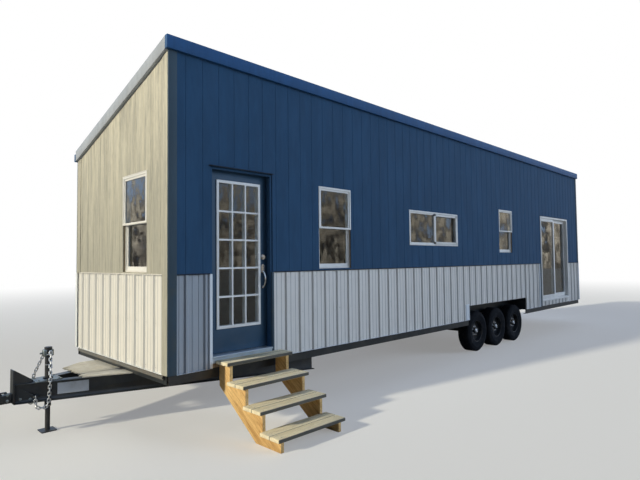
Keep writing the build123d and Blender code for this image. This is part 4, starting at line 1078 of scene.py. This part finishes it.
def deckPly(name, low, high, bottom, top, chance):
    middle, bites = (low.y + high.y) / 2, deck["bites"]
    bpy.ops.mesh.primitive_grid_add(
        x_subdivisions=3, y_subdivisions=deck["teeth"], size=1,
        location=((low.x + high.x) / 2, middle, bottom),
    )
    ply = newPiece(name, (high.x - low.x, high.y - low.y, 1))
    first, last = deck["far"][1][1], deck["near"][1][1]
    rows = sorted((v.co.y, v.index) for v in ply.data.vertices if v.co.x < low.x + 0.001)
    for number, (y, index) in enumerate(rows):
        place = min(max((middle + first - y) / (first - last), 0), 0.999) * (len(bites) - 1)
        before = int(place)
        bite = bites[before] + (bites[before + 1] - bites[before]) * (place - before)
        draw = chance.random()
        torn = deck["shred"] * (0.25 + 0.75 * draw) if number % 2 else deck["short"] * draw
        pick(ply, "VERT", lambda v: v.index == index)
        bpy.ops.transform.translate(value=(0.0005 + bite + torn, 0, 0))
    for (startAhead, startOut), (endAhead, endOut) in (deck["near"], deck["far"]):
        side = 1 if startOut > 0 else -1
        outward = (-abs(startOut - endOut), side * (endAhead - startAhead), 0)
        cut((bowX - startAhead, middle + startOut, 0), outward, drop=True)
    bpy.ops.mesh.select_all(action="SELECT")
    bpy.ops.mesh.extrude_region_move(TRANSFORM_OT_translate={"value": (0, 0, top - bottom)})
    fixNormals(ply)
    return ply


def makeDeck():
    low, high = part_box("tongue_deck")
    chance = random.Random(deck["seed"])
    thick = (high.z - low.z) / deck["plies"]
    bottoms = [low.z + i * thick for i in range(deck["plies"])]
    plies = [deckPly(f"ply{i}", low, high, z, z + thick - 0.0001, chance) for i, z in enumerate(bottoms)]
    dress(joined("splinteredDeck", plies), "plywood", instead=("tongue_deck",))
    print("deck made")


makeDeck()


# Wheel fittings: nuts on studs, grease cap and valve
hub = {
    "disc": 0.0855, "nuts": 8, "circle": 0.0825, "seat": (0.016, 0.004), "nut": (0.0125, 0.018),
    "stud": 0.006, "studFrom": 0.020, "studTo": 0.031,
    "capAt": 0.046, "cap": 0.036, "capHeight": 0.022,
    "capFace": ((0.008, 0.005), (0.012, 0.0), (0.002, -0.003)),
}


def axleRod(name, x, z, start, end, radius, vertices, bevel=0):
    return rod(name, (x, start, z), (x, end, z), radius, vertices, bevel)


def makeWheelFittings():
    disc, capAt = hub["disc"], hub["capAt"]
    (seatRadius, seatHeight), (nutRadius, nutHeight) = hub["seat"], hub["nut"]
    parts = []
    for index in range(hub["nuts"]):
        angle = 2 * pi * (index + 0.5) / hub["nuts"]
        x, z = hub["circle"] * cos(angle), hub["circle"] * sin(angle)
        top = disc - seatHeight
        parts.append(axleRod("seat", x, z, disc, top, seatRadius, 20, 0.001))
        parts.append(axleRod("nut", x, z, top, top - nutHeight, nutRadius, 6, 0.002))
        ends = disc - hub["studFrom"], disc - hub["studTo"]
        parts.append(axleRod("stud", x, z, *ends, hub["stud"], 12, 0.001))
    cap = axleRod("cap", 0, 0, capAt + 0.002, capAt - hub["capHeight"], hub["cap"], 40)
    insetFront(cap, *hub["capFace"])
    softened(cap, 0.0015)
    band = axleRod("band", 0, 0, capAt, capAt - 0.004, hub["cap"] + 0.005, 40, 0.001)
    valve = rod("valve", (0.150, disc + 0.002, 0.02), (0.152, disc - 0.028, 0.02), 0.004, 12, 0.001)
    source = joined("fittings", [*parts, cap, band, valve])
    for (side, index), (low, high) in zip(wheels, tyreBoxes):
        y, turn = (low.y, 0) if side == "entry" else (high.y, pi)
        place = ((low.x + high.x) / 2, y, (low.z + high.z) / 2)
        twin = moved(copyOf(source, f"wheelFittings_{side}_{index}"), place, (0, 0, turn))
        dress(twin, "brightSteel", f"wheel_{side}_{index}")
    bpy.data.objects.remove(source)
    print("wheel fittings made")


makeWheelFittings()


# Tongue: bolts, weld beads, bare plate on the near beam, jack fittings and the coupler's latch.
# Places are metres ahead of the wall, beside the middle and above the ground
tongue = {
    "slope": 0.33, "half": 0.395, "webInset": 0.0495, "mount": 1.050, "jack": 0.720,
    "mountBolts": {"ahead": 1.105, "beside": 0.038, "heights": (0.395, 0.455)},
    "beamBolts": ((0.985, 0.385), (0.9, 0.375)),
    "uprightBeads": {"beside": 0.055, "heights": (0.362, 0.545), "radius": 0.006},
    "levelBeads": {
        "beside": 0.036, "spread": 0.005, "ahead": (1.048, 0.874), "height": 0.550, "radius": 0.004,
    },
}
plate = {
    "start": 0.663, "end": 0.374, "low": 0.397, "high": 0.515, "thick": 0.0015,
    "rivet": 0.003, "rivetOut": 0.0035, "rivetInset": 0.010,
}
latch = {
    "base": ((1.235, -0.022, 0.448), (1.150, 0.022, 0.470)),
    "lever": ((1.225, -0.014, 0.470), (1.105, 0.014, 0.482)),
    "pin": ((1.215, -0.030, 0.462), (1.215, 0.030, 0.462)),
    "round": 0.004, "pinRadius": 0.006, "bendAhead": 1.13, "bendUp": 0.022,
}
# Places beside the jack's axis; a collar is its height, thickness and radius
jack = {
    "bolts": [(x, y, 0.558) for x in (-0.115, 0.085) for y in (-0.095, 0.095)],
    "collars": ((0.262, 0.012, 0.0345), (0.808, 0.010, 0.040), (0.700, 0.006, 0.034), (0.875, 0.014, 0.030)),
    "pinReach": 0.091, "ringHeight": 0.836, "ring": 0.011, "ringWire": 0.0015, "washerHeight": 0.845,
    "housing": ((-0.056, -0.030, 0.792), (0.050, 0.030, 0.866)),
    "cover": ((0, 0, 0.866), (0, 0, 0.8885)), "coverRadius": 0.036,
    "socket": ((-0.054, 0, 0.828), (-0.082, 0, 0.828)), "socketRadius": 0.010,
    "studs": [(x, z) for x in (-0.042, 0.036) for z in (0.806, 0.852)],
}
beamTurn = atan2(tongue["slope"], 1)


def ahead(distance, beside, height):
    return Vector((bowX - distance, middleY + beside, height))


def byJack(x, y, z):
    return Vector((bowX - tongue["jack"] + x, middleY + y, z))


def beamPoint(distance, side, height):
    out = tongue["half"] - tongue["slope"] * distance - tongue["webInset"]
    return ahead(distance, side * out, height)


def boltHead(name, place, direction, size=0.010, height=0.008):
    direction = Vector(direction)
    top = place + direction * 0.003
    washer = rod(name, place, top, size * 1.5, 20, 0.0006)
    return joined(name, [washer, rod(name, top, top + direction * height, size, 6, 0.0015)])


def weldBead(start, end, radius):
    # Overlapping ripples along a joint
    length = (end - start).length
    count = max(2, int(length / (radius * 1.1)))
    bpy.ops.mesh.primitive_cylinder_add(vertices=8, radius=radius, depth=length)
    bead = newPiece("bead")
    editAll()
    for index in range(1, count):
        cut((0, 0, length * (index / count - 0.5)), (0, 0, 1))
    pick(bead, "VERT", lambda v: round((v.co.z / length + 0.5) * count) % 2 == 0)
    bpy.ops.transform.resize(value=(0.72, 0.72, 1), center_override=(0, 0, 0))
    leaveEdit()
    return smooth(moved(bead, (start + end) / 2, (end - start).to_track_quat("Z", "Y").to_euler()), 60)


def makeBeamPlate():
    length, height = (plate["start"] - plate["end"]) / cos(beamTurn), plate["high"] - plate["low"]
    sheet = block("plate", (0, -plate["thick"], 0), (length, 0, height), 0.0006)
    inset = plate["rivetInset"]
    rivets = [
        rod("rivet", (x, -0.0012, z), (x, -plate["rivetOut"], z), plate["rivet"], 12, 0.0007)
        for x in (inset, length - inset) for z in (inset, height - inset)
    ]
    corner = beamPoint(plate["start"], -1, plate["low"])
    dress(moved(joined("barePlate", [sheet, *rivets]), corner, (0, 0, -beamTurn)), "barePlate")


def makeBolts():
    mount = tongue["mountBolts"]
    bolts = [
        boltHead("mountBolt", ahead(mount["ahead"], side * mount["beside"], height), (0, side, 0))
        for height in mount["heights"] for side in (-1, 1)
    ]
    for distance, height in tongue["beamBolts"]:
        for side in (-1, 1):
            outward = (-sin(beamTurn), side * cos(beamTurn), 0)
            bolts.append(boltHead("beamBolt", beamPoint(distance, side, height), outward))
    bolts += [boltHead("jackBolt", byJack(*place), (0, 0, 1), 0.008, 0.007) for place in jack["bolts"]]
    dress(joined("tongueBolts", bolts), "dullZinc")


def makeBeads():
    upright, level = tongue["uprightBeads"], tongue["levelBeads"]
    beads = []
    for side in (-1, 1):
        ends = [ahead(tongue["mount"], side * upright["beside"], z) for z in upright["heights"]]
        beads.append(weldBead(*ends, upright["radius"]))
        for spread in (-level["spread"], level["spread"]):
            y = side * level["beside"] + spread
            ends = [ahead(distance, y, level["height"]) for distance in level["ahead"]]
            beads.append(weldBead(*ends, level["radius"]))
    dress(joined("weldBeads", beads), "rustySteel")


def makeLatch():
    base, lever, pin = ([ahead(*place) for place in latch[part]] for part in ("base", "lever", "pin"))
    base = block("latchBase", *base, latch["round"], 3)
    lever = block("latchLever", *lever, latch["round"], 3)
    pin = rod("latchPin", *pin, latch["pinRadius"], 16, 0.001)
    pick(lever, "VERT", lambda v: v.co.x > bowX - latch["bendAhead"])
    bpy.ops.transform.translate(value=(0, 0, latch["bendUp"]))
    leaveEdit()
    dress(joined("couplerLatch", [base, lever, pin]), "darkSteel")


def makeJackFittings():
    # Collars around the tube, and a ring and a washer at each end of its pin
    parts = [
        rod("collar", byJack(0, 0, z), byJack(0, 0, z + thick), radius, 40, 0.002)
        for z, thick, radius in jack["collars"]
    ]
    for y in (-jack["pinReach"], jack["pinReach"]):
        bpy.ops.mesh.primitive_torus_add(
            major_radius=jack["ring"], minor_radius=jack["ringWire"], major_segments=24, minor_segments=8,
            location=byJack(0, y, jack["ringHeight"]), rotation=(pi / 2, 0, 0),
        )
        parts.append(smooth(newPiece("clip")))
        ends = [byJack(0, y + out, jack["washerHeight"]) for out in (-0.0015, 0.0015)]
        parts.append(rod("stopWasher", *ends, jack["ring"], 20, 0.0004))
    dress(joined("jackFittings", parts), "zinc")


def makeJackHead():
    # Gear housing and crank socket
    names = "housing", "cover", "socket"
    housing, cover, socket = ([byJack(*place) for place in jack[name]] for name in names)
    housing = smooth(block("housing", *housing, 0.012, 3))
    cover = rod("cover", *cover, jack["coverRadius"], 32, 0.005)
    socket = rod("socket", *socket, jack["socketRadius"], 20, 0.002)
    studs = [
        rod("stud", byJack(x, -0.029, z), byJack(x, -0.034, z), 0.006, 6, 0.001) for x, z in jack["studs"]
    ]
    dress(joined("jackHead", [housing, cover, socket, *studs]), "dullZinc")


makeBeamPlate()
makeBolts()
makeBeads()
makeLatch()
makeJackFittings()
makeJackHead()
print("tongue fittings made")


# Camera, lights and floor
view = {
    "place": (bowX - 2.400, frontY - 4.580, panelBottom + 1.140),
    "yaw": 0.783, "pitch": 0.042, "roll": 0.011, "lens": 27.57,
}


def makeCamera():
    camera = bpy.data.objects.new("camera", bpy.data.cameras.new("camera"))
    bpy.context.scene.collection.objects.link(camera)
    camera.data.lens = view["lens"]
    camera.data.clip_end = 200
    turn = (
        Matrix.Rotation(-view["yaw"], 3, "Z")
        @ Matrix.Rotation(pi / 2 + view["pitch"], 3, "X")
        @ Matrix.Rotation(-view["roll"], 3, "Z")
    )
    camera.rotation_euler = turn.to_euler()
    camera.location = view["place"]
    bpy.context.scene.camera = camera


# Lamps: strength, colour, size in degrees and the direction they shine from
studio = {
    "ambientLeft": (0.05, 0.07, 0.11), "ambientRight": (0.33, 0.44, 0.66), "dimAbove": 0.8,
    "mirrored": (0.68, 0.92, 1.30), "treesDark": (0.04, 0.04, 0.045), "treesPale": (1.20, 1.07, 0.86),
    "floor": (0.88, 0.88, 0.87), "bounce": (0.42, 0.415, 0.40), "near": 0.25, "fadeFrom": 9, "fadeTo": 38,
    "lamps": {
        "softKey": (3.35, (1.0, 0.925, 0.73), 3, (-0.912, 0.169, 0.375)),
        "coolFill": (1.46, (0.70, 0.83, 1.0), 35, (0.66, -0.70, 0.20)),
    },
}


def makeWorld():
    world = bpy.data.worlds.new("studio")
    bpy.context.scene.world = world
    world.use_nodes = True
    tree = world.node_tree
    way = addNode(tree, "ShaderNodeTexCoord").outputs["Generated"]
    axes = axesOf(way)
    around = mixColour(ramp(axes["X"], -0.7, 0.7), studio["ambientLeft"], studio["ambientRight"])
    overhead = times(ramp(axes["Z"], 0.2, 0.85), studio["dimAbove"])
    ambient = tree.nodes["Background"]
    wire(mixColour(overhead, around, (0.0, 0.0, 0.0)), ambient.inputs["Color"])
    # What the panes mirror: twigs below, and pale sky above a ragged edge
    twigs = noise(stretched(way, (1, 1, 0.4)), 110, 6, 0.75)
    trees = mixColour(ramp(twigs, 0.42, 0.60), studio["treesDark"], studio["treesPale"])
    crowns = times(noise(way, 5, 5, 0.6), -0.3, axes["Z"])
    sky = ramp(times(twigs, -0.9, crowns), -0.475, -0.41)
    mirrored = addNode(tree, "ShaderNodeBackground", mixColour(sky, trees, studio["mirrored"]))
    white = addNode(tree, "ShaderNodeBackground", (1, 1, 1))
    light = addNode(tree, "ShaderNodeLightPath").outputs
    shown = ambient.outputs[0]
    for ray, other in (("Is Glossy Ray", mirrored), ("Is Camera Ray", white)):
        shown = addNode(tree, "ShaderNodeMixShader", light[ray], shown, other.outputs[0]).outputs[0]
    wire(shown, tree.nodes["World Output"].inputs["Surface"])


def makeLamps():
    for name, (strength, colour, size, source) in studio["lamps"].items():
        lamp = bpy.data.objects.new(name, bpy.data.lights.new(name, "SUN"))
        bpy.context.scene.collection.objects.link(lamp)
        lamp.data.energy, lamp.data.color, lamp.data.angle = strength, colour, radians(size)
        lamp.rotation_euler = Vector(source).to_track_quat("Z", "Y").to_euler()
        lamp.visible_glossy = name == "softKey"  # the wide lamp leaves no disc in the panes
        lamp.visible_transmission = False


def makeFloor():
    # Seen directly, the floor fades to the white of the background far from the house
    bpy.ops.mesh.primitive_plane_add(size=160, location=(0, 0, -0.001))
    floor = bpy.context.object
    floor.name = "floor"
    material, shader, place = startMaterial("floor", 0.9, Specular_IOR_Level=0.1)
    looked = addNode(place, "ShaderNodeLightPath").outputs["Is Camera Ray"]
    coat(shader, mixColour(looked, studio["bounce"], studio["floor"]))
    distance = vectorMath("LENGTH", place)["Value"]
    fade = ramp(distance, studio["fadeFrom"], studio["fadeTo"])
    seen = times(times(fade, 1 - studio["near"], studio["near"]), looked)
    glow = addNode(place, "ShaderNodeEmission")
    blend = addNode(place, "ShaderNodeMixShader", seen, shader.outputs[0], glow.outputs[0])
    wire(blend.outputs[0], material.node_tree.nodes["Material Output"].inputs["Surface"])
    floor.data.materials.append(material)


makeCamera()
makeWorld()
makeLamps()
makeFloor()
bpy.context.scene.view_settings.view_transform = "Standard"
print("camera and studio made")
